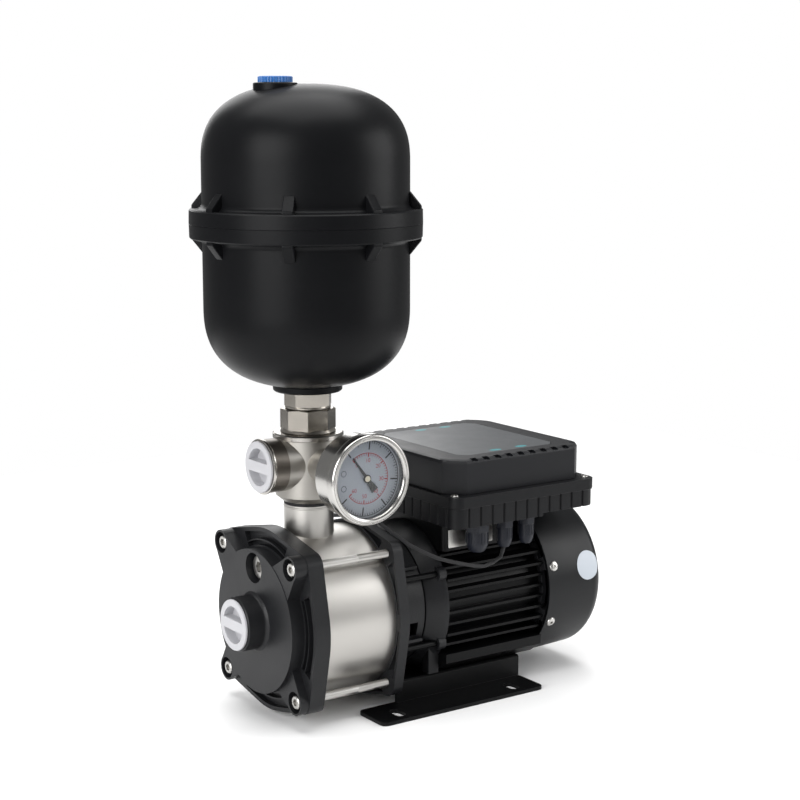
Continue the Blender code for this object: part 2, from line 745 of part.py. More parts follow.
def stage_bowls():
    """Cups with an eye in the front wall and return vanes on a disc behind the impeller."""
    depth = STAGE_PITCH - GAP
    inner = BOWL_R - BOWL_WALL
    bowl = turned("stage_bowl", [(0.0, EYE_BORE_R), (0.0, BOWL_R), (depth, BOWL_R), (depth, inner),
                                 (BOWL_WALL, inner), (BOWL_WALL, EYE_BORE_R)], STAINLESS, facets=MEDIUM)
    disc_front = diffuser_front()
    disc_rear = disc_front + SHROUD
    join(bowl, turned("diffuser_tool", [(disc_front, HUB_R + GAP * 2), (disc_front, inner - 0.003),
                                        (disc_rear, inner - 0.003), (disc_rear, HUB_R + GAP * 2)],
                       facets=MEDIUM))
    vanes = [vane_outline(IMPELLER_R * 0.62, BOWL_R - BOWL_WALL / 2, i, -1) for i in range(VANES)]
    join(bowl, prism("return_vane_tool", vanes, disc_rear - SHROUD / 2, depth - GAP))
    copies("stage_bowl", finished_mesh(bowl), stage_stations(), AXIS_TURN["X"], STAINLESS)


def diffuser_front():
    return BOWL_WALL + 2 * SHROUD + IMPELLER_WIDTH + 3 * RUNNING_GAP


def stage_stations():
    return [(SLEEVE_FRONT + i * STAGE_PITCH, 0.0, 0.0) for i in range(STAGES)]


def vane_outline(inner, outer, number, hand):
    """One vane leaning back as it goes out, in the plane across the shaft."""
    steps = 2
    sides = []
    for offset in (-VANE / 2, VANE / 2):
        side = []
        for i in range(steps + 1):
            radius = inner + (outer - inner) * i / steps
            angle = 2 * pi * number / VANES + hand * radians(50) * i / steps + offset / radius
            side.append((radius * cos(angle), radius * sin(angle)))
        sides.append(side)
    return sides[0] + sides[1][::-1]


def impellers():
    """Closed impellers: a rear shroud on a long hub, curved vanes and a front shroud with its eye collar."""
    front = BOWL_WALL + RUNNING_GAP
    rear = front + SHROUD + IMPELLER_WIDTH
    hub_end = front + STAGE_PITCH - GAP
    bore = SHAFT_R + GAP
    impeller = turned("impeller", [(front, bore), (front, HUB_R), (rear, HUB_R), (rear, IMPELLER_R),
                                   (rear + SHROUD, IMPELLER_R), (rear + SHROUD, HUB_R), (hub_end, HUB_R),
                                   (hub_end, bore)], STAINLESS, facets=MEDIUM)
    vanes = [vane_outline(EYE_R + OVERLAP, IMPELLER_R - OVERLAP / 2, i, 1) for i in range(VANES)]
    join(impeller, prism("impeller_vane_tool", vanes, front + SHROUD / 2, rear + SHROUD / 2))
    shroud = turned("front_shroud_tool", [(RUNNING_GAP, EYE_R - SHROUD), (RUNNING_GAP, EYE_R), (front, EYE_R),
                                          (front, IMPELLER_R), (front + SHROUD, IMPELLER_R),
                                          (front + SHROUD, EYE_R - SHROUD)], facets=MEDIUM)
    join(impeller, shroud)
    copies("impeller", finished_mesh(impeller), stage_stations(), AXIS_TURN["X"], STAINLESS)


# Rotor line

def rotor_line():
    first_hub = SLEEVE_FRONT + BOWL_WALL + RUNNING_GAP
    last_hub = first_hub + STAGES * STAGE_PITCH - GAP
    nut_front = first_hub - GAP - NUT_LENGTH
    nut = cylinder("impeller_nut", NUT_R, nut_front, first_hub - GAP, BRIGHT_STEEL, facets=6)
    cut(nut, cylinder("nut_bore_cutter", SHAFT_R + GAP, nut_front - OVERLAP, first_hub, facets=MEDIUM))
    fan_front = REAR_BEARING_FRONT + REAR_BEARING_W + 0.008
    turned("shaft", [(nut_front - OVERLAP, 0.0), (nut_front - OVERLAP, SHAFT_R),
                     (FLANGE_REAR + 0.016, SHAFT_R),
                     (FLANGE_REAR + 0.016, JOURNAL_R), (SHIELD_REAR, JOURNAL_R), (SHIELD_REAR, ROTOR_SEAT_R),
                     (STATOR_FRONT + STATOR_LENGTH + 0.010, ROTOR_SEAT_R),
                     (STATOR_FRONT + STATOR_LENGTH + 0.010, REAR_JOURNAL_R),
                     (fan_front - 0.002, REAR_JOURNAL_R), (fan_front - 0.002, FAN_SEAT_R),
                     (fan_front + FAN_HUB_LENGTH + 0.001, FAN_SEAT_R),
                     (fan_front + FAN_HUB_LENGTH + 0.001, 0.0)],
           BRIGHT_STEEL, facets=MEDIUM)
    seal_front = last_hub + GAP
    seal_joint = BELL_SEAT - OVERLAP
    bore = SHAFT_R + GAP
    turned("seal_head", [(seal_front, bore), (seal_front, 0.0125), (seal_front + 0.004, 0.0125),
                         (seal_front + 0.004, 0.0108), (seal_joint - 0.004, 0.0108),
                         (seal_joint - 0.004, 0.0132),
                         (seal_joint, 0.0132), (seal_joint, bore)], CARBON, facets=MEDIUM)
    turned("seal_seat", [(seal_joint + GAP, SHAFT_R + 0.0012), (seal_joint + GAP, SEAL_POCKET_R - GAP),
                         (BELL_SEAT + SEAL_POCKET - GAP, SEAL_POCKET_R - GAP),
                         (BELL_SEAT + SEAL_POCKET - GAP, SHAFT_R + 0.0012)], CARBON, facets=MEDIUM)
    rotor_r = STATOR_BORE_R - ROTOR_AIR_GAP
    rotor_rear = STATOR_FRONT + STATOR_LENGTH
    turned("rotor_core", [(STATOR_FRONT - 0.004, ROTOR_SEAT_R + GAP), (STATOR_FRONT - 0.004, rotor_r - 0.003),
                          (STATOR_FRONT, rotor_r - 0.002), (STATOR_FRONT, rotor_r), (rotor_rear, rotor_r),
                          (rotor_rear, rotor_r - 0.002), (rotor_rear + 0.004, rotor_r - 0.003),
                          (rotor_rear + 0.004, ROTOR_SEAT_R + GAP)], DARK_STEEL, facets=BROAD)
    bearing("front_bearing", FRONT_BEARING_FRONT, FRONT_BEARING_W, JOURNAL_R, FRONT_BEARING_R)
    bearing("rear_bearing", REAR_BEARING_FRONT, REAR_BEARING_W, REAR_JOURNAL_R, REAR_BEARING_R)
    fan(fan_front)


def bearing(name, front, width, shaft_r, outer_r):
    """A shielded ball bearing, its two rings parted by a shallow track."""
    track_in = shaft_r + (outer_r - shaft_r) * 0.35
    track_out = shaft_r + (outer_r - shaft_r) * 0.7
    sink = 0.0006
    bore = shaft_r + GAP
    turned(name, [(front, bore), (front, track_in), (front + sink, track_in), (front + sink, track_out),
                  (front, track_out), (front, outer_r), (front + width, outer_r), (front + width, track_out),
                  (front + width - sink, track_out), (front + width - sink, track_in),
                  (front + width, track_in),
                  (front + width, bore)], BRIGHT_STEEL, facets=MEDIUM)


def fan(front):
    wheel = turned("fan", [(front, FAN_SEAT_R + GAP), (front, FAN_R - 0.004),
                           (front + FAN_DISC, FAN_R - 0.004),
                           (front + FAN_DISC, FAN_HUB_R), (front + FAN_HUB_LENGTH, FAN_HUB_R),
                           (front + FAN_HUB_LENGTH, FAN_SEAT_R + GAP)], BLACK_PLASTIC, facets=MEDIUM)
    half = FAN_DISC / 2
    blades = []
    for number in range(FAN_BLADES):
        angle = 2 * pi * number / FAN_BLADES
        corners = [(FAN_HUB_R - OVERLAP, -half), (FAN_R, -half), (FAN_R, half), (FAN_HUB_R - OVERLAP, half)]
        blades.append([(u * cos(angle) - v * sin(angle), u * sin(angle) + v * cos(angle))
                       for u, v in corners])
    join(wheel, prism("fan_blade_tool", blades, front + FAN_DISC / 2, front + FAN_HUB_LENGTH + 0.004))


# Motor

def motor_bracket():
    """The bell: a lugged flange with lightening windows, a lantern and the motor's front shield."""
    bracket = prism("motor_bracket", [lugged_outline(CASTING_R, LUG_R, BOLT_OFFSET)],
                    BELL_FRONT, FLANGE_REAR, CAST_BLACK)
    cut(bracket, cylinder("bell_bore_cutter", BORE_CLEAR_R, BELL_FRONT - OVERLAP, FLANGE_REAR + OVERLAP,
                          facets=LARGE))
    groove = 0.0012
    spigot = FRAME_BORE_R - SPIGOT_GAP
    pocket_r = FRONT_BEARING_R + GAP
    bearing_rear = FRONT_BEARING_FRONT - GAP
    inner = LANTERN_R - LANTERN_WALL
    seal_rear = BELL_SEAT + SEAL_POCKET
    shaft_hole = JOURNAL_R + 0.002
    web_front = FLANGE_REAR + WEB_PROUD
    web_rear = web_front + 0.0002
    bell = [(BELL_SEAT, SEAL_POCKET_R), (BELL_SEAT, SLEEVE_R + 0.0025), (web_front, SLEEVE_R + 0.0025),
            (web_front, LANTERN_R), (LANTERN_REAR - groove, LANTERN_R),
            (LANTERN_REAR - groove, LANTERN_R - groove),
            (LANTERN_REAR, LANTERN_R - groove), (LANTERN_REAR, LANTERN_R + groove / 2),
            (SHIELD_REAR - 0.005, SHIELD_R - 0.0005), (SHIELD_REAR, SHIELD_R), (SHIELD_REAR, spigot),
            (SHIELD_REAR + SPIGOT_DEPTH, spigot), (SHIELD_REAR + SPIGOT_DEPTH, spigot - 0.003),
            (SHIELD_REAR - GAP, spigot - 0.003), (SHIELD_REAR - GAP, pocket_r), (bearing_rear, pocket_r),
            (bearing_rear, shaft_hole), (bearing_rear - 0.0025, shaft_hole),
            (bearing_rear - 0.0025, pocket_r + 0.004),
            (SHIELD_REAR - 0.006, pocket_r + 0.004), (SHIELD_REAR - 0.006, inner), (web_rear, inner),
            (web_rear, SEAL_POCKET_R + 0.004), (web_rear + 0.0035, SEAL_POCKET_R + 0.004),
            (web_rear + 0.0035, shaft_hole), (seal_rear, shaft_hole), (seal_rear, SEAL_POCKET_R)]
    join(bracket, turned("bell_tool", bell, facets=BROAD))
    windows = lugged_outline(CASTING_R - WINDOW_RIM, LUG_R - WINDOW_RIM, BOLT_OFFSET)
    window_tool = prism("window_cutter", [windows, circle(SLEEVE_R + WINDOW_RIM, LARGE)],
                        BELL_FRONT - OVERLAP, FLANGE_REAR + OVERLAP)
    bars = bmesh.new()
    low, high = BELL_FRONT - 2 * OVERLAP, FLANGE_REAR + 2 * OVERLAP
    add_block(bars, (low, -CASTING_R - LUG_R, -WINDOW_WEB), (high, CASTING_R + LUG_R, WINDOW_WEB))
    cut(window_tool, from_shape("window_bar_tool", bars, None, (0.0, 0.0, 0.0), (0.0, 0.0, 0.0)),
        box("window_post_tool", (low, -WINDOW_WEB, -CASTING_R - LUG_R),
            (high, WINDOW_WEB, CASTING_R + LUG_R)))
    for number, (y, z) in enumerate(bolt_places()):
        cut(window_tool, cylinder(f"window_lug_tool_{number}", LUG_R - WINDOW_RIM / 2, low, high,
                                  location=(0.0, y, z), facets=SMALL))
    cut(bracket, window_tool)
    for number, (y, z) in enumerate(bolt_places()):
        cut(bracket, cylinder(f"lug_hole_cutter_{number}", BOLT_R + GAP, BELL_FRONT - OVERLAP,
                              BELL_FRONT + BOLT_ENGAGE + GAP, location=(0.0, y, z), facets=COARSE))
    join(bracket, lantern_details())
    for number, (y, z) in enumerate(stud_places()):
        lug = cylinder(f"stud_lug_tool_{number}", STUD_LUG_R, SHIELD_REAR - STUD_LUG, SHIELD_REAR - GAP,
                       location=(0.0, y, z), facets=SMALL)
        join(bracket, lug)
        cut(bracket, cylinder(f"stud_hole_cutter_{number}", STUD_R + GAP, FLANGE_REAR - 0.0025,
                              SHIELD_REAR - 0.002, location=(0.0, y, z), facets=COARSE))
    window_low, window_high = LANTERN_WINDOW_Z
    sole_front = BASE_FRONT + PLATFORM_SETBACK - OVERLAP
    side = SHIELD_R + OVERLAP
    cut(bracket, box("bracket_sole_cutter", (sole_front, -side, -SHAFT_HEIGHT),
                     (SHIELD_REAR + OVERLAP, side, PLATFORM_Z + GAP)),
        box("lantern_window_cutter", (FLANGE_REAR + 0.011, -LANTERN_R - OVERLAP, window_low),
            (FLANGE_REAR + 0.021, LANTERN_R + OVERLAP, window_high)))


def stud_places():
    return [(side * STUD_Y, height * STUD_Z) for height in (1, -1) for side in (-1, 1)]


def lantern_details():
    """Horizontal ribs on both flanks of the lantern and the bracket's two feet."""
    shape = bmesh.new()
    for side in (-1, 1):
        for z in LANTERN_RIBS_Z:
            reach = sqrt(LANTERN_R ** 2 - z ** 2)
            ys = sorted((side * (reach - LANTERN_WALL / 2), side * (reach + LANTERN_RIB_PROUD)))
            add_block(shape, (FLANGE_REAR - OVERLAP, ys[0], z - LANTERN_RIB / 2),
                      (LANTERN_REAR - 0.003, ys[1], z + LANTERN_RIB / 2))
        centre = side * FOOT_Y
        add_block(shape, (SHIELD_REAR - 0.010, centre - FOOT_WIDTH / 2, PLATFORM_Z),
                  (SHIELD_REAR - 0.0005, centre + FOOT_WIDTH / 2, FOOT_TOP))
    return from_shape("lantern_detail_tool", shape, None, (0.0, 0.0, 0.0), (0.0, 0.0, 0.0))


def motor_bolts():
    start = FLANGE_REAR - 0.0025 + GAP
    stud = cylinder("motor_bolt", STUD_R, start, SHIELD_REAR - 0.002 - GAP, BRIGHT_STEEL, facets=COARSE)
    copies("motor_bolt", finished_mesh(stud), [(0.0, y, z) for y, z in stud_places()], AXIS_TURN["X"],
           BRIGHT_STEEL)


def frame_outline():
    """Half the section of the extruded frame, from the skid up over the side fins."""
    core = FRAME_BORE_R + FRAME_WALL
    points = [(SKID_FOOT_HALF, PLATFORM_Z + GAP), (SKID_HALF, SKID_SIDE_Z), (SKID_HALF, SKID_TOP_Z),
              (sqrt(core ** 2 - SKID_TOP_Z ** 2), SKID_TOP_Z)]
    for number in reversed(range(FINS)):
        z = FIN_TOP_Z - number * FIN_PITCH
        reach = min(FIN_REACH, sqrt(UPPER_FIN_R ** 2 - z ** 2))
        points += [(sqrt(core ** 2 - (z - FIN_HALF) ** 2), z - FIN_HALF), (reach, z - FIN_HALF),
                   (reach, z + FIN_HALF), (sqrt(core ** 2 - (z + FIN_HALF) ** 2), z + FIN_HALF)]
    crown = asin((FIN_TOP_Z + FIN_HALF) / core)
    points += arc((0.0, 0.0), core, crown, pi / 2, 5)[1:-1]
    return points


def motor_frame():
    right = frame_outline()
    left = [(-y, z) for y, z in reversed(right)]
    prism("motor_frame", [right + [(0.0, FRAME_BORE_R + FRAME_WALL)] + left, circle(FRAME_BORE_R, LARGE)],
          FRAME_FRONT, FRAME_REAR, PAINT_BLACK)


def stator():
    front, rear = STATOR_FRONT, STATOR_FRONT + STATOR_LENGTH
    outer = FRAME_BORE_R - SPIGOT_GAP
    turned("stator", [(front - WINDING_OVERHANG, WINDING_BORE_R),
                      (front - WINDING_OVERHANG, WINDING_R - 0.002),
                      (front - WINDING_OVERHANG + 0.002, WINDING_R), (front, WINDING_R), (front, outer),
                      (rear, outer), (rear, WINDING_R), (rear + WINDING_OVERHANG - 0.002, WINDING_R),
                      (rear + WINDING_OVERHANG, WINDING_R - 0.002), (rear + WINDING_OVERHANG, WINDING_BORE_R),
                      (rear, WINDING_BORE_R), (rear, STATOR_BORE_R), (front, STATOR_BORE_R),
                      (front, WINDING_BORE_R)], COPPER, facets=BROAD)


def rear_end_shield():
    """The shield that closes the frame, with the bearing hub and four lugs for the fan cover."""
    face = FRAME_REAR + GAP
    spigot = FRAME_BORE_R - SPIGOT_GAP
    pocket_r = REAR_BEARING_R + GAP
    pocket_rear = REAR_BEARING_FRONT + REAR_BEARING_W + GAP
    shield = turned("rear_end_shield", [(face - SPIGOT_DEPTH, spigot - 0.003), (face - SPIGOT_DEPTH, spigot),
                                        (face, spigot), (face, SHIELD_R - 0.004),
                                        (face + 0.004, SHIELD_R - 0.004),
                                        (face + 0.004, pocket_r + 0.0045),
                                        (pocket_rear + 0.0025, pocket_r + 0.0035),
                                        (pocket_rear + 0.0025, REAR_JOURNAL_R + 0.0008),
                                        (pocket_rear, REAR_JOURNAL_R + 0.0008), (pocket_rear, pocket_r),
                                        (face, pocket_r), (face, spigot - 0.003)], CAST_BLACK,
                    facets=BROAD)
    reach = FAN_COVER_R - FAN_COVER_WALL - 4 * GAP
    turn = asin(COVER_LUG_Z / FAN_COVER_R)
    lugs = [sector(SHIELD_R - 0.008, reach, middle, radians(5), 2)
            for middle in (turn, -turn, pi - turn, pi + turn)]
    join(shield, prism("cover_lug_tool", lugs, face + GAP, face + COVER_LUG_LENGTH))


def fan_cover():
    """A drawn cover that tapers to the rear, with two rings of radial slots in its end wall."""
    front, rear = FAN_COVER_FRONT, FAN_COVER_REAR
    outer = [(front, FAN_COVER_R), (front + 0.020, FAN_COVER_R - 0.0006),
             (rear - 0.018, FAN_COVER_R - 0.0030),
             (rear - 0.010, FAN_COVER_R - 0.0058), (rear - 0.004, FAN_COVER_R - 0.0105),
             (rear - 0.001, FAN_COVER_R - 0.0160), (rear, FAN_COVER_R - 0.0210)]
    drawn = outer[:2] + outer[2:6:2] + outer[-1:]
    inner = [(min(x, rear - FAN_COVER_WALL), r - FAN_COVER_WALL) for x, r in drawn]
    cover = turned("fan_cover", outer + [(rear, 0.0), (rear - FAN_COVER_WALL, 0.0)] + inner[::-1],
                   PAINT_BLACK)
    slots = []
    for count, start, end in ((10, 0.013, 0.025), (20, 0.029, FAN_COVER_R - 0.0240)):
        for number in range(count):
            slots.append(sector(start, end, 2 * pi * number / count, 0.0022 / end, 1))
    cut(cover, prism("grille_cutter", slots, rear - 2 * FAN_COVER_WALL, rear + OVERLAP))


def base_bracket():
    """A sheet folded into a hat section, its floor flanges longer than the platform."""
    rear = BASE_FRONT + BASE_LENGTH
    floor = -SHAFT_HEIGHT
    platform_front = BASE_FRONT + PLATFORM_SETBACK
    web_in = BASE_WEB_Y - BASE_SHEET
    under = PLATFORM_Z - BASE_SHEET
    section = [(-BASE_WEB_Y, floor), (-web_in, floor), (-web_in, under), (web_in, under), (web_in, floor),
               (BASE_WEB_Y, floor), (BASE_WEB_Y, PLATFORM_Z - BASE_SHEET / 2),
               (BASE_WEB_Y - BASE_SHEET / 2, PLATFORM_Z),
               (-BASE_WEB_Y + BASE_SHEET / 2, PLATFORM_Z), (-BASE_WEB_Y, PLATFORM_Z - BASE_SHEET / 2)]
    bracket = prism("base_bracket", [section], platform_front, rear, PAINT_BLACK)
    flanges = []
    for side in (-1, 1):
        ys = sorted((side * web_in, side * BASE_FLANGE_OUT))
        flanges.append(rounded_rectangle((BASE_FRONT, ys[0]), (rear, ys[1]), BASE_CORNER_R))
        for x in (BASE_FRONT + SLOT_INSET, rear - SLOT_INSET):
            half = (SLOT_LENGTH - SLOT_WIDTH) / 2
            slot = (arc((x, side * SLOT_Y + half), SLOT_WIDTH / 2, 0.0, pi, 6)
                    + arc((x, side * SLOT_Y - half), SLOT_WIDTH / 2, pi, 2 * pi, 6))
            flanges.append(slot)
    join(bracket, prism("flange_tool", flanges, floor, floor + BASE_SHEET, plane="XY"))


# Terminal base and drive

def terminal_base():
    rear = TERMINAL_FRONT + TERMINAL_LENGTH
    outline = rounded_rectangle((TERMINAL_FRONT, -TERMINAL_HALF), (rear, TERMINAL_HALF), 0.004, 3)
    base = prism("terminal_base", [outline], TERMINAL_LOW, BOX_LOW - GAP, PAINT_BLACK, plane="XY")
    cut(base, cylinder("saddle_cutter", FRAME_BORE_R + FRAME_WALL + SPIGOT_GAP, TERMINAL_FRONT - OVERLAP,
                       rear + OVERLAP, facets=LARGE))


def rating_plate():
    start = TERMINAL_FRONT + 0.0045
    corner = (start + PLATE_LENGTH, PLATE_LOW + PLATE_HEIGHT)
    outline = rounded_rectangle((start, PLATE_LOW), corner, 0.001, 2)
    prism("rating_plate", [outline], TERMINAL_HALF + GAP, TERMINAL_HALF + GAP + PLATE_THICKNESS,
          BRIGHT_STEEL, plane="XZ")


def grooves(front, rear, half, low, high, depth):
    """Upright grooves all round the band of the drive box."""
    shape = bmesh.new()
    count = round((rear - front - 2 * BOX_CORNER) / GROOVE_PITCH)
    for number in range(count):
        x = (front + rear) / 2 + (number - (count - 1) / 2) * GROOVE_PITCH
        for side in (-1, 1):
            ys = sorted((side * (half - depth), side * (half + OVERLAP)))
            add_block(shape, (x - GROOVE_WIDTH / 2, ys[0], low), (x + GROOVE_WIDTH / 2, ys[1], high))
    count = round(2 * (half - BOX_CORNER) / GROOVE_PITCH)
    for number in range(count):
        y = (number - (count - 1) / 2) * GROOVE_PITCH
        for xs in ((front - OVERLAP, front + depth), (rear - depth, rear + OVERLAP)):
            add_block(shape, (xs[0], y - GROOVE_WIDTH / 2, low), (xs[1], y + GROOVE_WIDTH / 2, high))
    return from_shape("groove_cutter", shape, None, (0.0, 0.0, 0.0), (0.0, 0.0, 0.0))


def controller_base():
    """The drive's lower shell: a plain lip over a grooved band, a deck that carries the lid, posts inside."""
    front, rear = BOX_FRONT, BOX_REAR
    band = rounded_rectangle((front + LIP_PROUD, LIP_PROUD - BOX_HALF),
                             (rear - LIP_PROUD, BOX_HALF - LIP_PROUD),
                             BOX_CORNER)
    lip = rounded_rectangle((front, -BOX_HALF), (rear, BOX_HALF), BOX_CORNER + LIP_PROUD)
    lip_low = BOX_TOP - LIP_HEIGHT
    shell = prism("controller_base", [band], BOX_LOW, lip_low + OVERLAP, BLACK_PLASTIC, plane="XY")
    cut(shell, grooves(front + LIP_PROUD, rear - LIP_PROUD, BOX_HALF - LIP_PROUD, BOX_LOW - OVERLAP,
                       lip_low + 2 * OVERLAP, LIP_PROUD))
    join(shell, prism("lip_tool", [lip], lip_low, BOX_TOP, plane="XY"))
    wall = BOX_WALL + LIP_PROUD
    hollow = rounded_rectangle((front + wall, wall - BOX_HALF), (rear - wall, BOX_HALF - wall),
                               BOX_CORNER - 0.002)
    deck_low = BOX_TOP - BOX_WALL
    inset = BOX_WALL + DECK_MARGIN
    mouth = chamfered_rectangle((LID_FRONT + inset, inset - LID_HALF), (LID_REAR - inset, LID_HALF - inset),
                                LID_CORNER)
    cut(shell, prism("hollow_cutter", [hollow], BOX_LOW + BOX_STEP + BOX_WALL, deck_low, plane="XY"),
        prism("mouth_cutter", [mouth], deck_low - OVERLAP, BOX_TOP + OVERLAP, plane="XY"),
        box("step_cutter", (front + BOX_STEP_AT, -BOX_HALF - OVERLAP, BOX_LOW - OVERLAP),
            (rear + OVERLAP, BOX_HALF + OVERLAP, BOX_LOW + BOX_STEP)))
    for number, (x, y) in enumerate(post_places()):
        join(shell, cylinder(f"post_tool_{number}", POST_R, BOX_LOW + BOX_STEP + BOX_WALL - OVERLAP,
                             BOX_LOW + BOX_STEP + BOX_WALL + POST_HEIGHT, axis="Z", location=(x, y, 0.0),
                             facets=COARSE))


def post_places():
    middle = (BOX_FRONT + BOX_REAR) / 2
    return [(middle + dx * BOX_LENGTH * 0.3, dy * BOX_HALF * 0.55) for dx in (-1, 1) for dy in (-1, 1)]


def drive_board():
    """The inverter's board with its smoothing capacitors and a finned heat sink."""
    seat = BOX_LOW + BOX_STEP + BOX_WALL + POST_HEIGHT + GAP
    middle = (BOX_FRONT + BOX_REAR) / 2
    half_x, half_y = BOX_LENGTH * 0.36, BOX_HALF * 0.7
    board = box("drive_board", (middle - half_x, -half_y, seat),
                (middle + half_x, half_y, seat + BOARD_THICKNESS),
                BOARD_GREEN)
    top = seat + BOARD_THICKNESS
    for number in range(3):
        place_at = (middle - half_x + CAPACITOR_INSET, number * CAPACITOR_PITCH - SINK_HALF, 0.0)
        join(board, cylinder(f"capacitor_tool_{number}", CAPACITOR_R, top - BOARD_THICKNESS / 2,
                             top + CAPACITOR_HEIGHT, axis="Z", location=place_at, facets=COARSE))
    sink = bmesh.new()
    add_block(sink, (middle, -SINK_HALF, top - BOARD_THICKNESS / 2),
              (middle + SINK_LENGTH, SINK_HALF, top + SINK_BASE))
    join(board, from_shape("heat_sink_tool", sink, None, (0.0, 0.0, 0.0), (0.0, 0.0, 0.0)))
    fins = bmesh.new()
    margin = SINK_BASE / 5
    for number in range(SINK_FINS):
        y = (number - (SINK_FINS - 1) / 2) * SINK_FIN_PITCH
        add_block(fins, (middle + margin, y - SINK_FIN / 2, top + SINK_BASE - margin),
                  (middle + SINK_LENGTH - margin, y + SINK_FIN / 2, top + SINK_HEIGHT))
    join(board, from_shape("sink_fin_tool", fins, None, (0.0, 0.0, 0.0), (0.0, 0.0, 0.0)))


def chamfered_rectangle(low, high, chamfer):
    return [(low[0] + chamfer, low[1]), (high[0] - chamfer, low[1]), (high[0], low[1] + chamfer),
            (high[0], high[1] - chamfer), (high[0] - chamfer, high[1]), (low[0] + chamfer, high[1]),
            (low[0], high[1] - chamfer), (low[0], low[1] + chamfer)]


def controller_cover():
    """The drive's lid: cut corners, a sloped top edge with teeth along both flanks and a panel recess."""
    outline = chamfered_rectangle((LID_FRONT, -LID_HALF), (LID_REAR, LID_HALF), LID_CORNER)
    lid = prism("controller_cover", [outline], LID_LOW, LID_TOP, GREY_PLASTIC, plane="XY")
    wall = BOX_WALL
    hollow = chamfered_rectangle((LID_FRONT + wall, wall - LID_HALF), (LID_REAR - wall, LID_HALF - wall),
                                 LID_CORNER)
    bevel = lid.modifiers.new("top_edge", "BEVEL")
    bevel.width = LID_EDGE
    bevel.segments = 2
    bevel.limit_method = "VGROUP"
    group = lid.vertex_groups.new(name="top")
    group.add([v.index for v in lid.data.vertices if v.co.z > 0], 1.0, "REPLACE")
    bevel.vertex_group = "top"
    teeth = bmesh.new()
    count = round((LID_REAR - LID_FRONT - 2 * LID_CORNER) / GROOVE_PITCH)
    for number in range(count):
        x = (LID_FRONT + LID_REAR) / 2 + (number - (count - 1) / 2) * GROOVE_PITCH
        for side in (-1, 1):
            ys = sorted((side * (LID_HALF - LID_EDGE - TOOTH_DEPTH), side * (LID_HALF + OVERLAP)))
            add_block(teeth, (x - TOOTH_WIDTH / 2, ys[0], LID_TOP - TOOTH_DEPTH),
                      (x + TOOTH_WIDTH / 2, ys[1], LID_TOP + OVERLAP))
    cut(lid, from_shape("tooth_cutter", teeth, None, (0.0, 0.0, 0.0), (0.0, 0.0, 0.0)),
        prism("lid_hollow_cutter", [hollow], LID_LOW - OVERLAP, LID_TOP - LABEL_RECESS - wall, plane="XY"),
        prism("label_recess_cutter", [label_outline(0.0)], LID_TOP - LABEL_RECESS, LID_TOP + OVERLAP,
              plane="XY"))


def label_outline(inset):
    return chamfered_rectangle((LID_FRONT + LABEL_MARGIN_X + inset, inset - LABEL_HALF),
                               (LID_REAR - LABEL_MARGIN_X - inset, LABEL_HALF - inset), LID_CORNER / 2)


def keypad_label():
    prism("keypad_label", [label_outline(GAP)], LID_TOP - LABEL_RECESS + GAP, LID_TOP, LABEL_GREY, plane="XY")


def cable_glands():
    """Domed glands with a hexagon body, hanging under the drive box."""
    top = BOX_LOW - GAP
    for number, (x, radius) in enumerate(zip(GLAND_XS, GLAND_RADII), start=1):
        low = top - GLAND_LENGTH
        place_at = (x, GLAND_Y, 0.0)
        collar = top - GLAND_LENGTH * 0.30
        shoulder = low + GLAND_LENGTH * 0.25
        gland = turned(f"gland_{number}", [(low, GLAND_BORE_R), (low, radius * 0.62),
                                           (shoulder, radius * 0.94),
                                           (collar, radius * 0.94), (collar, radius * 0.8),
                                           (top, radius * 0.8),
                                           (top, GLAND_BORE_R)],
                       BLACK_PLASTIC, axis="Z", location=place_at, facets=MEDIUM)
        nut = cylinder(f"gland_hex_tool_{number}", radius * 1.08, collar - OVERLAP, top - GLAND_LENGTH * 0.06,
                       axis="Z", location=place_at, facets=6)
        cut(nut, cylinder(f"gland_hex_bore_{number}", radius * 0.7, collar - 2 * OVERLAP, top, axis="Z",
                          location=place_at, facets=MEDIUM))
        join(gland, nut)


def smooth_route(points, spacing):
    """A Catmull-Rom curve through the points, evenly spaced, with straight first and last pieces."""
    dense = []
    for a, b, c, d in zip(points, points[1:], points[2:], points[3:]):
        for step in range(16):
            t = step / 16
            dense.append(0.5 * ((2 * b) + (c - a) * t + (2 * a - 5 * b + 4 * c - d) * t * t
                                + (3 * b - a - 3 * c + d) * t * t * t))
    route = [points[0], dense[0]]
    carried = 0.0
    for previous, point in zip(dense, dense[1:]):
        carried += (point - previous).length
        if carried >= spacing:
            route.append(point)
            carried = 0.0
    return route + [points[-2], points[-1]]


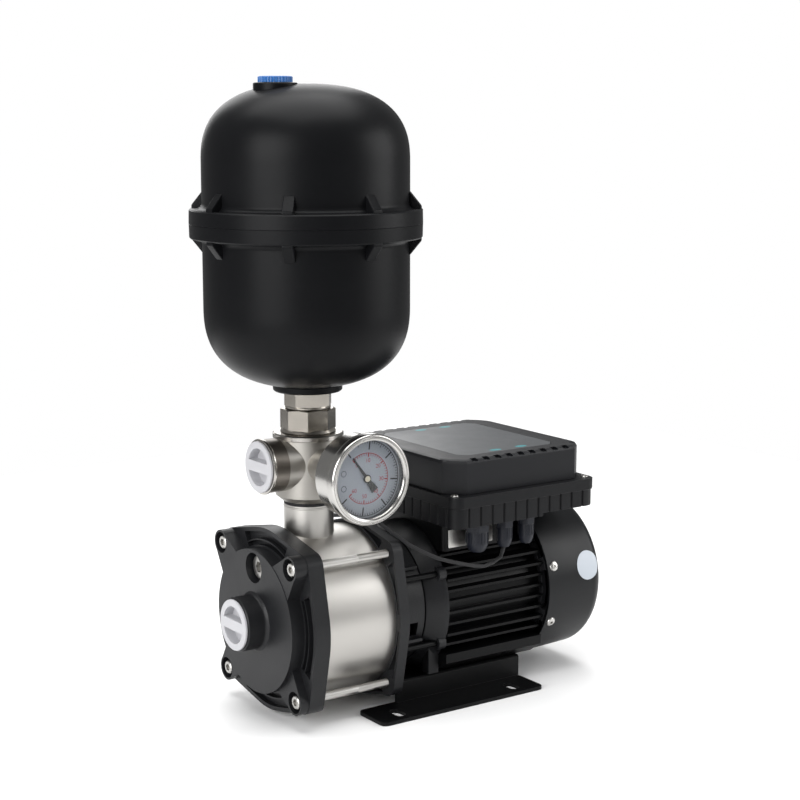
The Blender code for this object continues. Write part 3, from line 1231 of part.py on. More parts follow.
def sensor_lead():
    """The lead from the middle gland, held at both ends, looping forward and up to the sensor's tail."""
    gland = Vector((GLAND_XS[1], GLAND_Y, BOX_LOW - GAP - GLAND_LENGTH))
    tail = Vector((sensor_tail_end() + GAP, 0.0, PORT_Z))
    along, across, up = tail.x - gland.x, gland.y, tail.z - gland.z
    way = [gland + Vector((0.0, 0.0, GLAND_LENGTH * 0.4)), gland]
    for reach, side, rise in ((0.019, 1.003, -0.08), (0.102, 1.016, -0.135), (0.274, 1.032, -0.169),
                  (0.517, 1.044, -0.11), (0.823, 1.04, -0.007), (0.982, 1.016, 0.073),
                  (1.122, 0.968, 0.155), (1.212, 0.913, 0.235), (1.352, 0.802, 0.365),
                  (1.448, 0.762, 0.465), (1.46, 0.683, 0.578), (1.378, 0.571, 0.684),
                  (1.224, 0.46, 0.777), (1.059, 0.357, 0.843), (0.931, 0.238, 0.896),
                  (0.874, 0.111, 0.95), (0.895, 0.019, 0.987)):
        way.append(Vector((gland.x + reach * along, side * across, gland.z + rise * up)))
    way += [tail + Vector((LEAD_R * 2, 0.0, 0.0)), tail]
    curve = bpy.data.curves.new("sensor_lead", "CURVE")
    curve.dimensions = "3D"
    curve.bevel_depth = LEAD_R
    curve.bevel_resolution = 2
    curve.use_fill_caps = True
    points = smooth_route(way, LEAD_SPACING)
    spline = curve.splines.new("POLY")
    spline.points.add(len(points) - 1)
    for slot, point in zip(spline.points, points):
        slot.co = (*point, 1.0)
    mesh = curve_mesh(bpy.data.objects.new("sensor_lead_route", curve))
    mesh.shade_smooth()
    place("sensor_lead", mesh, RUBBER, (0.0, 0.0, 0.0), (0.0, 0.0, 0.0))


# Outlet fitting and what it carries

def outlet_fitting():
    """A five-way body: neck, tank, outlet, sensor and gauge ports meeting in one bore."""
    low = FITTING_LOW
    cone = low + 0.0045
    body = turned("outlet_fitting", [(low, 0.0), (low, NECK_R + 0.0008), (cone, FITTING_BODY_R),
                                     (FITTING_TOP - FITTING_COLLAR, FITTING_BODY_R),
                                     (FITTING_TOP - FITTING_COLLAR, FITTING_COLLAR_R),
                                     (FITTING_TOP - 0.001, FITTING_COLLAR_R),
                                     (FITTING_TOP, FITTING_COLLAR_R - 0.001),
                                     (FITTING_TOP, 0.0)], STAINLESS, axis="Z")
    port = (0.0, 0.0, PORT_Z)
    outlet_end = -OUTLET_REACH
    root = -FITTING_COLLAR_R
    side_start = FITTING_BORE_R / 3
    join(body, cylinder("outlet_rim_tool", PORT_RIM_R, outlet_end, outlet_end + PORT_RIM, location=port,
                        facets=LARGE),
         cylinder("outlet_tube_tool", PORT_R, outlet_end + OVERLAP, root, location=port, facets=LARGE),
         cylinder("outlet_root_tool", PORT_ROOT_R, root - OVERLAP, 0.0, location=port, facets=LARGE),
         cylinder("sensor_port_tool", SENSOR_PORT_R, FITTING_BORE_R / 2, SENSOR_REACH, location=port,
                  facets=BROAD),
         cylinder("gauge_port_tool", GAUGE_PORT_R, FITTING_BORE_R / 2, GAUGE_PORT_REACH, axis="-Y",
                  location=port, facets=BROAD))
    cut(body, cylinder("fitting_bore_cutter", FITTING_BORE_R, low - OVERLAP, FITTING_TOP + OVERLAP, axis="Z",
                       facets=BROAD),
        cylinder("outlet_bore_cutter", PORT_BORE_R, outlet_end - OVERLAP, 0.0, location=port, facets=BROAD),
        cylinder("sensor_bore_cutter", SENSOR_THREAD_R + GAP, side_start, SENSOR_REACH + OVERLAP,
                 location=port,
                 facets=18),
        cylinder("gauge_bore_cutter", GAUGE_STEM_R + GAP, side_start, GAUGE_PORT_REACH + OVERLAP, axis="-Y",
                 location=port, facets=18))


def fitting_ring():
    low = NECK_TOP + GAP
    high = low + FITTING_RING
    inner = NECK_R - NECK_WALL
    turned("fitting_o_ring", [(low, inner), (low, NECK_R), (low + FITTING_RING / 2, NECK_R + 0.0003),
                              (high, NECK_R),
                              (high, inner)], RUBBER, axis="Z", facets=BROAD)


def sensor_tail_end():
    return SENSOR_REACH + GAP + SENSOR_HEX + SENSOR_BODY + SENSOR_TAIL


def pressure_sensor():
    port = (0.0, 0.0, PORT_Z)
    seat = SENSOR_REACH + GAP
    body = seat + SENSOR_HEX
    tail = body + SENSOR_BODY
    sensor = turned("pressure_sensor", [(seat - 0.009, 0.0), (seat - 0.009, SENSOR_THREAD_R),
                                        (body - OVERLAP, SENSOR_THREAD_R), (body - OVERLAP, SENSOR_BODY_R),
                                        (tail, SENSOR_BODY_R), (tail, 0.0045), (tail + SENSOR_TAIL, 0.0032),
                                        (tail + SENSOR_TAIL, 0.0)], STAINLESS, location=port, facets=MEDIUM)
    join(sensor, cylinder("sensor_hex_tool", SENSOR_HEX_R, seat, body, location=port, facets=6))


def gauge():
    """A liquid-filled gauge: cup, ring, lens, dial and a pointer on its arbor."""
    port = (0.0, 0.0, PORT_Z)
    front = GAUGE_FRONT
    lip_rear = front - GAUGE_LIP
    lens_front = lip_rear - GAP
    lens_rear = lens_front - GAUGE_LENS
    case_front = lens_rear - GAP
    case_rear = case_front - GAUGE_CASE_DEPTH
    inner = GAUGE_CASE_R - GAUGE_CASE_WALL
    floor = case_rear + GAUGE_BACKING
    case = turned("gauge_case", [(case_rear, 0.0), (case_rear, GAUGE_CASE_R - 0.0015),
                                 (case_rear + 0.0015, GAUGE_CASE_R), (case_front, GAUGE_CASE_R),
                                 (case_front, inner),
                                 (floor, inner), (floor, 0.0)], BRIGHT_STEEL, axis="-Y", location=port,
                  facets=BROAD)
    stem = cylinder("gauge_stem_tool", GAUGE_STEM_R, GAUGE_PORT_REACH - 0.010, case_rear + OVERLAP, axis="-Y",
                    location=port)
    hexagon = cylinder("gauge_hex_tool", GAUGE_HEX_R, GAUGE_PORT_REACH + GAP, case_rear + OVERLAP, axis="-Y",
                       location=port, facets=6)
    join(case, stem, hexagon)
    turned("gauge_bezel", [(front, GAUGE_LIP_R + 0.0008), (front, GAUGE_BEZEL_R - 0.0018),
                           (front - 0.0018, GAUGE_BEZEL_R), (front - GAUGE_BEZEL_DEPTH, GAUGE_BEZEL_R),
                           (front - GAUGE_BEZEL_DEPTH, GAUGE_CASE_R + RUNNING_GAP),
                           (lip_rear, GAUGE_CASE_R + RUNNING_GAP), (lip_rear, GAUGE_LIP_R)],
           BRIGHT_STEEL, axis="-Y", location=port, facets=BROAD)
    turned("gauge_lens", [(lens_rear, 0.0), (lens_rear, GAUGE_CASE_R), (lens_front, GAUGE_CASE_R),
                          (lens_front, 0.0)],
           CLEAR_GLASS, axis="-Y", location=port, facets=BROAD)
    dial_front = lens_rear - DIAL_SETBACK
    turned("gauge_dial", [(dial_front - GAUGE_DIAL, ARBOR_R + GAP), (dial_front - GAUGE_DIAL, inner - GAP),
                          (dial_front, inner - GAP), (dial_front, ARBOR_R + GAP)],
           DIAL_PAINT, axis="-Y", location=port, facets=BROAD)
    needle_rear = dial_front + 0.0010
    needle_front = needle_rear + NEEDLE_THICKNESS
    pointer = [(-NEEDLE_TAIL, -NEEDLE_WIDTH), (0.0, -NEEDLE_WIDTH * 0.7),
               (NEEDLE_LENGTH, -NEEDLE_WIDTH * 0.18),
               (NEEDLE_LENGTH, NEEDLE_WIDTH * 0.18), (0.0, NEEDLE_WIDTH * 0.7), (-NEEDLE_TAIL, NEEDLE_WIDTH)]
    blade = [(u * cos(NEEDLE_REST) - v * sin(NEEDLE_REST), PORT_Z + u * sin(NEEDLE_REST)
              + v * cos(NEEDLE_REST))
             for u, v in pointer]
    needle = turned("gauge_needle", [(floor + GAP, 0.0), (floor + GAP, ARBOR_R), (needle_rear, ARBOR_R),
                                     (needle_rear, NEEDLE_HUB_R), (needle_front + 0.0008, NEEDLE_HUB_R),
                                     (needle_front + 0.0008, 0.0)],
                    PAINT_BLACK, axis="-Y", location=port, facets=SMALL)
    join(needle, prism("needle_blade_tool", [blade], needle_rear, needle_front, plane="XZ"))


def chamfered_nut(name, radius, low, height, corner):
    """An eight-sided nut whose corners are taken off by the cone of a turned blank."""
    chamfer = radius * (1 - cos(pi / NUT_SIDES)) * 1.1
    nut = cylinder(name, radius, low, low + height, NICKEL, axis="Z", facets=NUT_SIDES)
    nut.rotation_euler = (0.0, 0.0, corner)
    blank = turned(name + "_blank", [(low, 0.0), (low, radius - chamfer), (low + chamfer * 0.6, radius + GAP),
                                     (low + height - chamfer * 0.6, radius + GAP),
                                     (low + height, radius - chamfer),
                                     (low + height, 0.0)], axis="Z", facets=BROAD)
    combine(nut, [blank], "INTERSECT")
    return nut


def union_nut():
    """The lower nut of the union, with the tail that screws into the fitting."""
    nut = chamfered_nut("union_nut", UNION_NUT_R, UNION_LOW, UNION_HEIGHT, UNION_CORNER)
    tail_low = FITTING_TOP - TAIL_ENGAGE
    tail_r = FITTING_BORE_R - RUNNING_GAP
    seat = FITTING_TOP + GAP
    join(nut, turned("union_tail_tool", [(tail_low, 0.0), (tail_low, tail_r), (seat, tail_r),
                                         (seat, UNION_SEAT_R),
                                         (UNION_LOW + OVERLAP, UNION_SEAT_R - 0.002),
                                         (UNION_LOW + OVERLAP, 0.0)],
                     axis="Z", facets=MEDIUM))
    cut(nut, cylinder("union_bore_cutter", ADAPTER_BORE_R, tail_low - OVERLAP,
                      UNION_LOW + UNION_HEIGHT + OVERLAP, axis="Z", facets=MEDIUM))


def tank_adapter():
    """The upper nut, standing on a polished ring and screwed into the tank's neck."""
    low = ADAPTER_LOW
    nut_low = ADAPTER_NUT_LOW
    thread_top = TANK_BOTTOM + ADAPTER_REACH
    adapter = chamfered_nut("tank_adapter", ADAPTER_NUT_R, nut_low, ADAPTER_NUT, ADAPTER_CORNER)
    join(adapter, cylinder("adapter_ring_tool", ADAPTER_RING_R, low, nut_low + OVERLAP, axis="Z",
                           facets=MEDIUM),
         cylinder("adapter_thread_tool", ADAPTER_THREAD_R, nut_low + OVERLAP, thread_top, axis="Z",
                  facets=MEDIUM))
    cut(adapter, cylinder("adapter_bore_cutter", ADAPTER_BORE_R, low - OVERLAP, thread_top + OVERLAP,
                          axis="Z",
                          facets=MEDIUM))


# Tank

def dome(centre, height, radius, start, steps, wall=0.0):
    """Points of a superellipse dome from its rim towards the pole; a negative height hangs down."""
    points = []
    for i in range(steps + 1):
        angle = start * i / steps
        r = (radius - wall) * cos(angle) ** (2 / DOME_EXPONENT)
        z = centre + (height - wall if height > 0 else height + wall) * sin(angle) ** (2 / DOME_EXPONENT)
        points.append((z, r))
    return points


def gussets(name, low, high, root):
    """Sloped ribs that stiffen the band, evenly round the tank."""
    wedge = [(root - 0.004, low), (BAND_R - 0.0008, low), (BAND_R - 0.0008, (low * 3 + high) / 4),
             (root, high),
             (root - 0.004, high)]
    solid = prism(name, [wedge], -GUSSET_WIDTH / 2, GUSSET_WIDTH / 2, plane="XZ")
    shape = bmesh.new()
    shape.from_mesh(solid.data)
    bmesh.ops.transform(shape, matrix=solid.matrix_basis, verts=shape.verts)
    bpy.data.objects.remove(solid, do_unlink=True)
    first = list(shape.verts) + list(shape.edges) + list(shape.faces)
    for number in range(1, GUSSETS):
        made = bmesh.ops.duplicate(shape, geom=first)["geom"]
        verts = [part for part in made if isinstance(part, bmesh.types.BMVert)]
        bmesh.ops.rotate(shape, matrix=Matrix.Rotation(2 * pi * number / GUSSETS, 3, "Z"), verts=verts)
    return from_shape(name, shape, None, (0.0, 0.0, 0.0), (0.0, 0.0, 0.0))


def tank_shells():
    """Two moulded halves meeting in the band, stiffened by gussets above and below it."""
    lower_centre = TANK_BOTTOM + TANK_NECK_HEIGHT + LOWER_DOME - 0.001
    neck_top = TANK_BOTTOM + TANK_NECK_HEIGHT
    bore = ADAPTER_THREAD_R + GAP
    outside = [p for p in dome(lower_centre, -LOWER_DOME, TANK_R, pi / 2, DOME_STEPS)
               if p[1] > TANK_NECK_R + 0.003]
    inside = [p for p in dome(lower_centre, -LOWER_DOME, TANK_R, pi / 2, DOME_STEPS // 2, TANK_WALL)
              if p[1] > TANK_NECK_R]
    inside[-1] = (neck_top + TANK_WALL, TANK_NECK_R - 0.002)
    seam = BAND_SPLIT - GAP / 2
    ledge = BAND_LOW - BAND_FILLET
    lower = ([(seam, TANK_R - TANK_WALL), (seam, BAND_R), (BAND_LOW, BAND_R), (BAND_LOW, TANK_R + 0.002),
              (ledge, TANK_R)] + outside
             + [(neck_top, TANK_NECK_R + 0.001), (TANK_BOTTOM + 0.001, TANK_NECK_R),
                (TANK_BOTTOM, TANK_NECK_R - 0.001), (TANK_BOTTOM, bore),
                (neck_top + TANK_WALL + NECK_LIP, bore),
                (neck_top + TANK_WALL + NECK_LIP, bore + 0.003), (neck_top + TANK_WALL, bore + 0.003)]
             + inside[::-1])
    shell = turned("tank_lower_shell", lower, TANK_BLACK, axis="Z")
    join(shell, gussets("lower_gusset_tool", BAND_LOW + OVERLAP, BAND_LOW - GUSSET_HEIGHT, TANK_R))
    upper_centre = TANK_TOP - UPPER_DOME
    top_out = dome(upper_centre, UPPER_DOME, TANK_R, pi / 2, DOME_STEPS)
    top_in = dome(upper_centre, UPPER_DOME, TANK_R, pi / 2, DOME_STEPS // 2, TANK_WALL)
    top_out[-1] = (TANK_TOP, 0.0)
    top_in[-1] = (TANK_TOP - TANK_WALL, 0.0)
    seam = BAND_SPLIT + GAP / 2
    rim = BAND_HIGH + BAND_FILLET
    upper = ([(seam, TANK_R - TANK_WALL), (seam, BAND_R), (BAND_HIGH, BAND_R), (BAND_HIGH, TANK_R + 0.002),
              (rim, TANK_R)] + top_out + top_in[::-1])
    shell = turned("tank_upper_shell", upper, TANK_BLACK, axis="Z")
    join(shell, gussets("upper_gusset_tool", BAND_HIGH - OVERLAP, BAND_HIGH + GUSSET_HEIGHT, TANK_R))
    valve = (CAP_X, 0.0, 0.0)
    join(shell, cylinder("boss_tool", BOSS_R, TANK_TOP - BOSS_DEPTH, BOSS_TOP, axis="Z", location=valve,
                         facets=BROAD))
    cut(shell, cylinder("valve_hole_cutter", VALVE_R + GAP, TANK_TOP - 2 * BOSS_DEPTH, BOSS_TOP + OVERLAP,
                        axis="Z", location=valve, facets=SMALL))


def tank_membrane():
    """The bag that holds the water, open at the neck."""
    clear = TANK_WALL + MEMBRANE_CLEAR
    centre = TANK_BOTTOM + TANK_NECK_HEIGHT + LOWER_DOME - 0.001
    low = TANK_BOTTOM + TANK_NECK_HEIGHT + TANK_WALL + NECK_LIP + GAP
    mouth = ADAPTER_THREAD_R + 0.0015
    radius = TANK_R - clear
    crown = BAND_HIGH
    bottom = [p for p in dome(centre, -(LOWER_DOME - clear), radius, pi / 2, 4) if p[1] > mouth + 0.010]
    bottom_in = [p for p in dome(centre, -(LOWER_DOME - clear), radius, pi / 2, 4, MEMBRANE_WALL)
                 if p[1] > mouth + 0.010]
    top = dome(crown, 0.050, radius, pi / 2, 4)
    top_in = dome(crown, 0.050, radius, pi / 2, 4, MEMBRANE_WALL)
    top[-1] = (crown + 0.050, 0.0)
    top_in[-1] = (crown + 0.050 - MEMBRANE_WALL, 0.0)
    turned("tank_membrane", top[::-1] + bottom + [(low, mouth), (low + MEMBRANE_WALL, mouth)]
           + bottom_in[::-1]
           + top_in, RUBBER, axis="Z", facets=MEDIUM)


def air_valve_and_cap():
    valve = (CAP_X, 0.0, 0.0)
    top = BOSS_TOP + 0.002
    turned("air_valve", [(top - VALVE_LENGTH, 0.0), (top - VALVE_LENGTH, VALVE_R), (BOSS_TOP, VALVE_R),
                         (BOSS_TOP + GAP, VALVE_R), (top, VALVE_R - 0.0008), (top, 0.0)],
           BRIGHT_STEEL, axis="Z", location=valve, facets=SMALL)
    low = BOSS_TOP + GAP
    high = low + CAP_HEIGHT
    inner = CAP_R - CAP_SKIRT
    turned("air_cap", [(low, inner), (low, CAP_R), (high - 0.001, CAP_R), (high, CAP_R - 0.001), (high, 0.0),
                       (high - CAP_SKIRT, 0.0), (high - CAP_SKIRT, inner)],
           BLUE_CAP, axis="Z", location=valve, facets=BROAD)


# The build

def build():
    suction_cover()
    priming_plug()
    port_plug("suction_plug", SPIGOT_END, 0.0)
    pump_sleeve()
    sleeve_seals()
    tie_bolts()
    stage_bowls()
    impellers()
    rotor_line()
    motor_bracket()
    motor_bolts()
    motor_frame()
    stator()
    rear_end_shield()
    fan_cover()
    base_bracket()
    terminal_base()
    rating_plate()
    controller_base()
    drive_board()
    controller_cover()
    keypad_label()
    cable_glands()
    sensor_lead()
    outlet_fitting()
    fitting_ring()
    port_plug("outlet_plug", -OUTLET_REACH, PORT_Z)
    pressure_sensor()
    gauge()
    union_nut()
    tank_adapter()
    tank_shells()
    tank_membrane()
    air_valve_and_cap()


build()
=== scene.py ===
"""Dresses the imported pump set: finishes, finely turned pieces, prints and fasteners over the CAD frame.

Sizes are in millimetres from the outlet axis (X), the shaft's plane (Y) and the shaft axis (Z), as the CAD
source gives them. Every finished mesh is brought to metres in the frame's own place.
"""

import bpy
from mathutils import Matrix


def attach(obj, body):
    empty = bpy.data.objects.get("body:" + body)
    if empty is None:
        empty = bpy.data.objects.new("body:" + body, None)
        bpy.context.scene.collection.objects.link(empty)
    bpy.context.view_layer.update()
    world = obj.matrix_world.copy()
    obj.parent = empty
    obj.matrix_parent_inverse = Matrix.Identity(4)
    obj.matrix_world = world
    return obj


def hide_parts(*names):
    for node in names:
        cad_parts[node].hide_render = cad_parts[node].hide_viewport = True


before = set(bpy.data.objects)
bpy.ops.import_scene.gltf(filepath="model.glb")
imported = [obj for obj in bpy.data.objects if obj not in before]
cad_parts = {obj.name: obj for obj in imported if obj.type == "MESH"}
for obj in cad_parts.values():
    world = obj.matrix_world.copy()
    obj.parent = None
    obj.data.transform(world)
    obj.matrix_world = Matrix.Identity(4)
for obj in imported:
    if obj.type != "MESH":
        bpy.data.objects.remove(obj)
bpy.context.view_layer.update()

import logging
from dataclasses import dataclass, field
from enum import Enum
from math import acos, asin, cos, pi, radians, sin, sqrt
from typing import Iterable, Sequence

import bmesh
import bpy
from mathutils import Matrix, Vector

LOG = logging.getLogger("pump")
Point2 = tuple[float, float]
Outline = list[Point2]

# Points this near to each other, in millimetres, are one
MERGE = 0.002

TO_FRAME = Matrix.Translation((-0.0799, 0.0, 0.075)) @ Matrix.Scale(0.001, 4)


class Axis(Enum):
    """The direction that a turned piece's stations run in, and the direction of its first radius."""
    X = ((1, 0, 0), (0, 0, 1))
    FRONT = ((0, -1, 0), (0, 0, 1))
    Z = ((0, 0, 1), (1, 0, 0))

    @property
    def along(self) -> Vector:
        """The direction of the stations."""
        return Vector(self.value[0])

    @property
    def out(self) -> Vector:
        """The direction of the first radius."""
        return Vector(self.value[1])


class Plane(Enum):
    """The two directions of an outline and the direction it is drawn out in."""
    ACROSS = ((0, 1, 0), (0, 0, 1), (1, 0, 0))
    FRONT = ((1, 0, 0), (0, 0, 1), (0, -1, 0))
    LEVEL = ((1, 0, 0), (0, 1, 0), (0, 0, 1))


class Grain(Enum):
    """How a surface's fine pattern is stretched: the share of its frequency along each axis."""
    EVEN = (1.0, 1.0, 1.0)
    RINGS_X = (1.0, 0.03, 0.03)
    RINGS_Z = (0.03, 0.03, 1.0)
    RINGS_Y = (0.03, 1.0, 0.03)
    LINES_X = (0.03, 1.0, 1.0)


# Finishes

@dataclass(frozen=True)
class Finish:
    """A painted, moulded or metal surface with grain, uneven gloss and a faint unevenness of colour."""
    name: str
    slot: str
    colour: tuple[float, float, float]
    roughness: float
    metallic: float = 0.0
    grain: Grain = Grain.EVEN
    grain_size: float = 0.0008
    bump: float = 0.15
    bump_depth: float = 0.00006
    spread: float = 0.08
    mottle: float = 0.12
    mottle_size: float = 0.03
    coat: float = 0.0
    sheen: float = 0.0
    specular: float = 0.5

    def build(self) -> bpy.types.Material:
        """Make the material, once.

        Returns:
            The node material that carries this finish.
        """
        made = bpy.data.materials.get(self.name)
        if made is not None:
            return made
        made = bpy.data.materials.new(self.name)
        made.use_nodes = True
        nodes, links = made.node_tree.nodes, made.node_tree.links
        shader = nodes["Principled BSDF"]
        shader.inputs["Metallic"].default_value = self.metallic
        shader.inputs["Coat Weight"].default_value = self.coat
        shader.inputs["Sheen Weight"].default_value = self.sheen
        shader.inputs["Specular IOR Level"].default_value = self.specular
        place = nodes.new("ShaderNodeTexCoord")
        fine = self._noise(nodes, links, place, [share / self.grain_size for share in self.grain.value], 3.0)
        broad = self._noise(nodes, links, place, [1.0 / self.mottle_size] * 3, 4.0)
        tone = nodes.new("ShaderNodeMix")
        tone.data_type = "RGBA"
        tone.inputs["A"].default_value = (*[c * (1.0 - self.mottle) for c in self.colour], 1.0)
        tone.inputs["B"].default_value = (*[min(1.0, c * (1.0 + self.mottle)) for c in self.colour], 1.0)
        links.new(broad.outputs["Fac"], tone.inputs["Factor"])
        links.new(tone.outputs["Result"], shader.inputs["Base Color"])
        blend = nodes.new("ShaderNodeMath")
        blend.operation = "ADD"
        links.new(fine.outputs["Fac"], blend.inputs[0])
        links.new(broad.outputs["Fac"], blend.inputs[1])
        gloss = nodes.new("ShaderNodeMapRange")
        gloss.inputs["From Min"].default_value = 0.6
        gloss.inputs["From Max"].default_value = 1.4
        gloss.inputs["To Min"].default_value = max(0.02, self.roughness - self.spread)
        gloss.inputs["To Max"].default_value = min(1.0, self.roughness + self.spread)
        links.new(blend.outputs["Value"], gloss.inputs["Value"])
        links.new(gloss.outputs["Result"], shader.inputs["Roughness"])
        relief = nodes.new("ShaderNodeBump")
        relief.inputs["Strength"].default_value = self.bump
        relief.inputs["Distance"].default_value = self.bump_depth
        links.new(fine.outputs["Fac"], relief.inputs["Height"])
        links.new(relief.outputs["Normal"], shader.inputs["Normal"])
        return made

    @staticmethod
    def _noise(nodes: bpy.types.Nodes, links: bpy.types.NodeLinks, place: bpy.types.Node,
               scales: Sequence[float], detail: float) -> bpy.types.Node:
        """Add a noise texture on object coordinates.

        Args:
            nodes: The material's nodes.
            links: The material's links.
            place: The texture coordinate node.
            scales: The frequency along each axis, per metre.
            detail: The noise's octaves.

        Returns:
            The noise node.
        """
        spread = nodes.new("ShaderNodeMapping")
        spread.inputs["Scale"].default_value = scales
        noise = nodes.new("ShaderNodeTexNoise")
        noise.inputs["Scale"].default_value = 1.0
        noise.inputs["Detail"].default_value = detail
        links.new(place.outputs["Object"], spread.inputs["Vector"])
        links.new(spread.outputs["Vector"], noise.inputs["Vector"])
        return noise


@dataclass(frozen=True)
class ClearFinish(Finish):
    """A clear pane that lets the dial show."""
    transmission: float = 1.0

    def build(self) -> bpy.types.Material:
        """Make the clear material, once.

        Returns:
            The material, with its transmission and index set.
        """
        fresh = bpy.data.materials.get(self.name) is None
        made = super().build()
        if fresh:
            shader = made.node_tree.nodes["Principled BSDF"]
            shader.inputs["Transmission Weight"].default_value = self.transmission
            shader.inputs["IOR"].default_value = 1.3
        return made


CASTING = Finish("casting_paint", "cast_black", (0.010, 0.0103, 0.0115), 0.40, bump=0.5, bump_depth=0.00018,
                 grain_size=0.0011, mottle=0.15, specular=0.26)
MOTOR_PAINT = Finish("motor_paint", "paint_black", (0.0026, 0.0027, 0.0030), 0.34, bump=0.25,
                     grain_size=0.0006, specular=0.13)
COVER_PAINT = Finish("fan_cover_paint", "paint_black", (0.0062, 0.0067, 0.0076), 0.38, bump=0.35,
                     grain_size=0.0007, specular=0.18)
BASE_PAINT = Finish("base_paint", "paint_black", (0.0030, 0.0031, 0.0034), 0.36, bump=0.25, specular=0.13)
SLEEVE_STEEL = Finish("sleeve_steel", "stainless", (0.50, 0.485, 0.46), 0.36, 1.0, Grain.RINGS_X, 0.00016,
                      bump=0.10, bump_depth=0.00001, spread=0.03, mottle=0.02, mottle_size=0.08)
FITTING_STEEL = Finish("fitting_steel", "stainless", (0.36, 0.345, 0.32), 0.38, 1.0, bump=0.3,
                       bump_depth=0.00010, grain_size=0.0007, mottle=0.08)
TUBE_STEEL = Finish("outlet_tube_steel", "stainless", (0.185, 0.168, 0.148), 0.36, 1.0, bump=0.15,
                    bump_depth=0.00003, mottle=0.05)
POLISHED = Finish("polished_steel", "bright_steel", (0.52, 0.51, 0.49), 0.22, 1.0, Grain.RINGS_Y, 0.0002,
                  bump=0.03, bump_depth=0.00001, spread=0.03, mottle=0.03)
COLLAR_STEEL = Finish("collar_steel", "stainless", (0.50, 0.48, 0.45), 0.24, 1.0, Grain.RINGS_Z, 0.0002,
                      bump=0.03, bump_depth=0.00001, spread=0.03, mottle=0.03)
BOLT_STEEL = Finish("bolt_steel", "bright_steel", (0.50, 0.49, 0.47), 0.32, 1.0, Grain.LINES_X, 0.0003,
                    bump=0.04, bump_depth=0.00001, spread=0.04, mottle=0.04)
NICKEL = Finish("nickel_plate", "nickel", (0.46, 0.43, 0.385), 0.24, 1.0, Grain.RINGS_Z, 0.0003, bump=0.05,
                bump_depth=0.00002, spread=0.04, mottle=0.05)
LAMINATION = Finish("lamination_steel", "dark_steel", (0.18, 0.18, 0.18), 0.42, 1.0, Grain.RINGS_X, 0.0005)
PLUG_WHITE = Finish("plug_white", "white_plastic", (0.46, 0.46, 0.48), 0.40, bump=0.15, mottle=0.02)
DRIVE_BLACK = Finish("drive_black", "black_plastic", (0.0062, 0.0064, 0.0073), 0.42, bump=0.5,
                     grain_size=0.0005, specular=0.15)
GLAND_BLACK = Finish("gland_black", "black_plastic", (0.010, 0.0115, 0.017), 0.40, bump=0.3,
                     grain_size=0.0005, specular=0.25)
LID_GREY = Finish("lid_grey", "grey_plastic", (0.0072, 0.0076, 0.0092), 0.42, bump=0.5, grain_size=0.0005,
                  mottle=0.06, specular=0.20)
PANEL_GREY = Finish("panel_grey", "label_grey", (0.050, 0.054, 0.058), 0.38, bump=0.25, grain_size=0.0004,
                    mottle=0.05, specular=0.35)
MARK_TEAL = Finish("mark_teal", "label_grey", (0.02, 0.20, 0.22), 0.40, bump=0.05, mottle=0.05)
TANK_PLASTIC = Finish("tank_plastic", "tank_black", (0.0045, 0.0047, 0.0054), 0.38, bump=0.45,
                      grain_size=0.0006, spread=0.05, mottle=0.08, specular=0.10)
CAP_BLUE = Finish("cap_blue", "blue_cap", (0.02, 0.125, 0.38), 0.38, bump=0.2, mottle=0.05)
RUBBER = Finish("rubber_black", "rubber", (0.014, 0.014, 0.015), 0.62, bump=0.35, grain_size=0.0005,
                sheen=0.1, specular=0.2)
CARBON = Finish("carbon_grey", "carbon", (0.030, 0.030, 0.032), 0.55)
COPPER = Finish("winding_copper", "copper", (0.58, 0.26, 0.13), 0.36, 1.0, Grain.LINES_X, 0.0008, bump=0.4)
BOARD = Finish("board_green", "board_green", (0.03, 0.16, 0.08), 0.45, mottle=0.2, mottle_size=0.006)
DIAL_FACE = Finish("dial_face", "dial_paint", (0.34, 0.365, 0.415), 0.50, bump=0.05, mottle=0.04)
PRINT_BLACK = Finish("print_black", "dial_paint", (0.012, 0.012, 0.014), 0.50, bump=0.05)
PRINT_RED = Finish("print_red", "dial_paint", (0.32, 0.012, 0.014), 0.50, bump=0.05)
HUB_CREAM = Finish("hub_cream", "dial_paint", (0.62, 0.58, 0.45), 0.40, bump=0.1)
STICKER = Finish("sticker_white", "white_plastic", (0.46, 0.50, 0.55), 0.42, bump=0.05, mottle=0.05)
LENS = ClearFinish("gauge_glass", "clear_glass", (0.97, 0.98, 0.98), 0.04, bump=0.0, spread=0.02, mottle=0.0)
FLOOR = Finish("studio_floor", "white_plastic", (0.93, 0.93, 0.93), 0.55, bump=0.0, mottle=0.0)


# Shapes

def lathe(profile: Sequence[Point2], axis: Axis, at: Sequence[float] = (0, 0, 0),
          steps: int = 96) -> bmesh.types.BMesh:
    """Turn (station, radius) points about an axis; an outline clear of the axis is closed into a ring.

    Args:
        profile: The points, in order.
        axis: The axis to turn about.
        at: A point that the axis passes through.
        steps: The facets of a full turn.

    Returns:
        The turned shape.
    """
    shape = bmesh.new()
    verts = [shape.verts.new(axis.along * station + axis.out * radius) for station, radius in profile]
    pairs = list(zip(verts, verts[1:]))
    if min(radius for _, radius in profile) > 1e-6:
        pairs.append((verts[-1], verts[0]))
    edges = [shape.edges.new(pair) for pair in pairs]
    bmesh.ops.spin(shape, geom=verts + edges, axis=axis.along, cent=(0, 0, 0), angle=2 * pi, steps=steps,
                   use_merge=True)
    return tidy(shape, at)


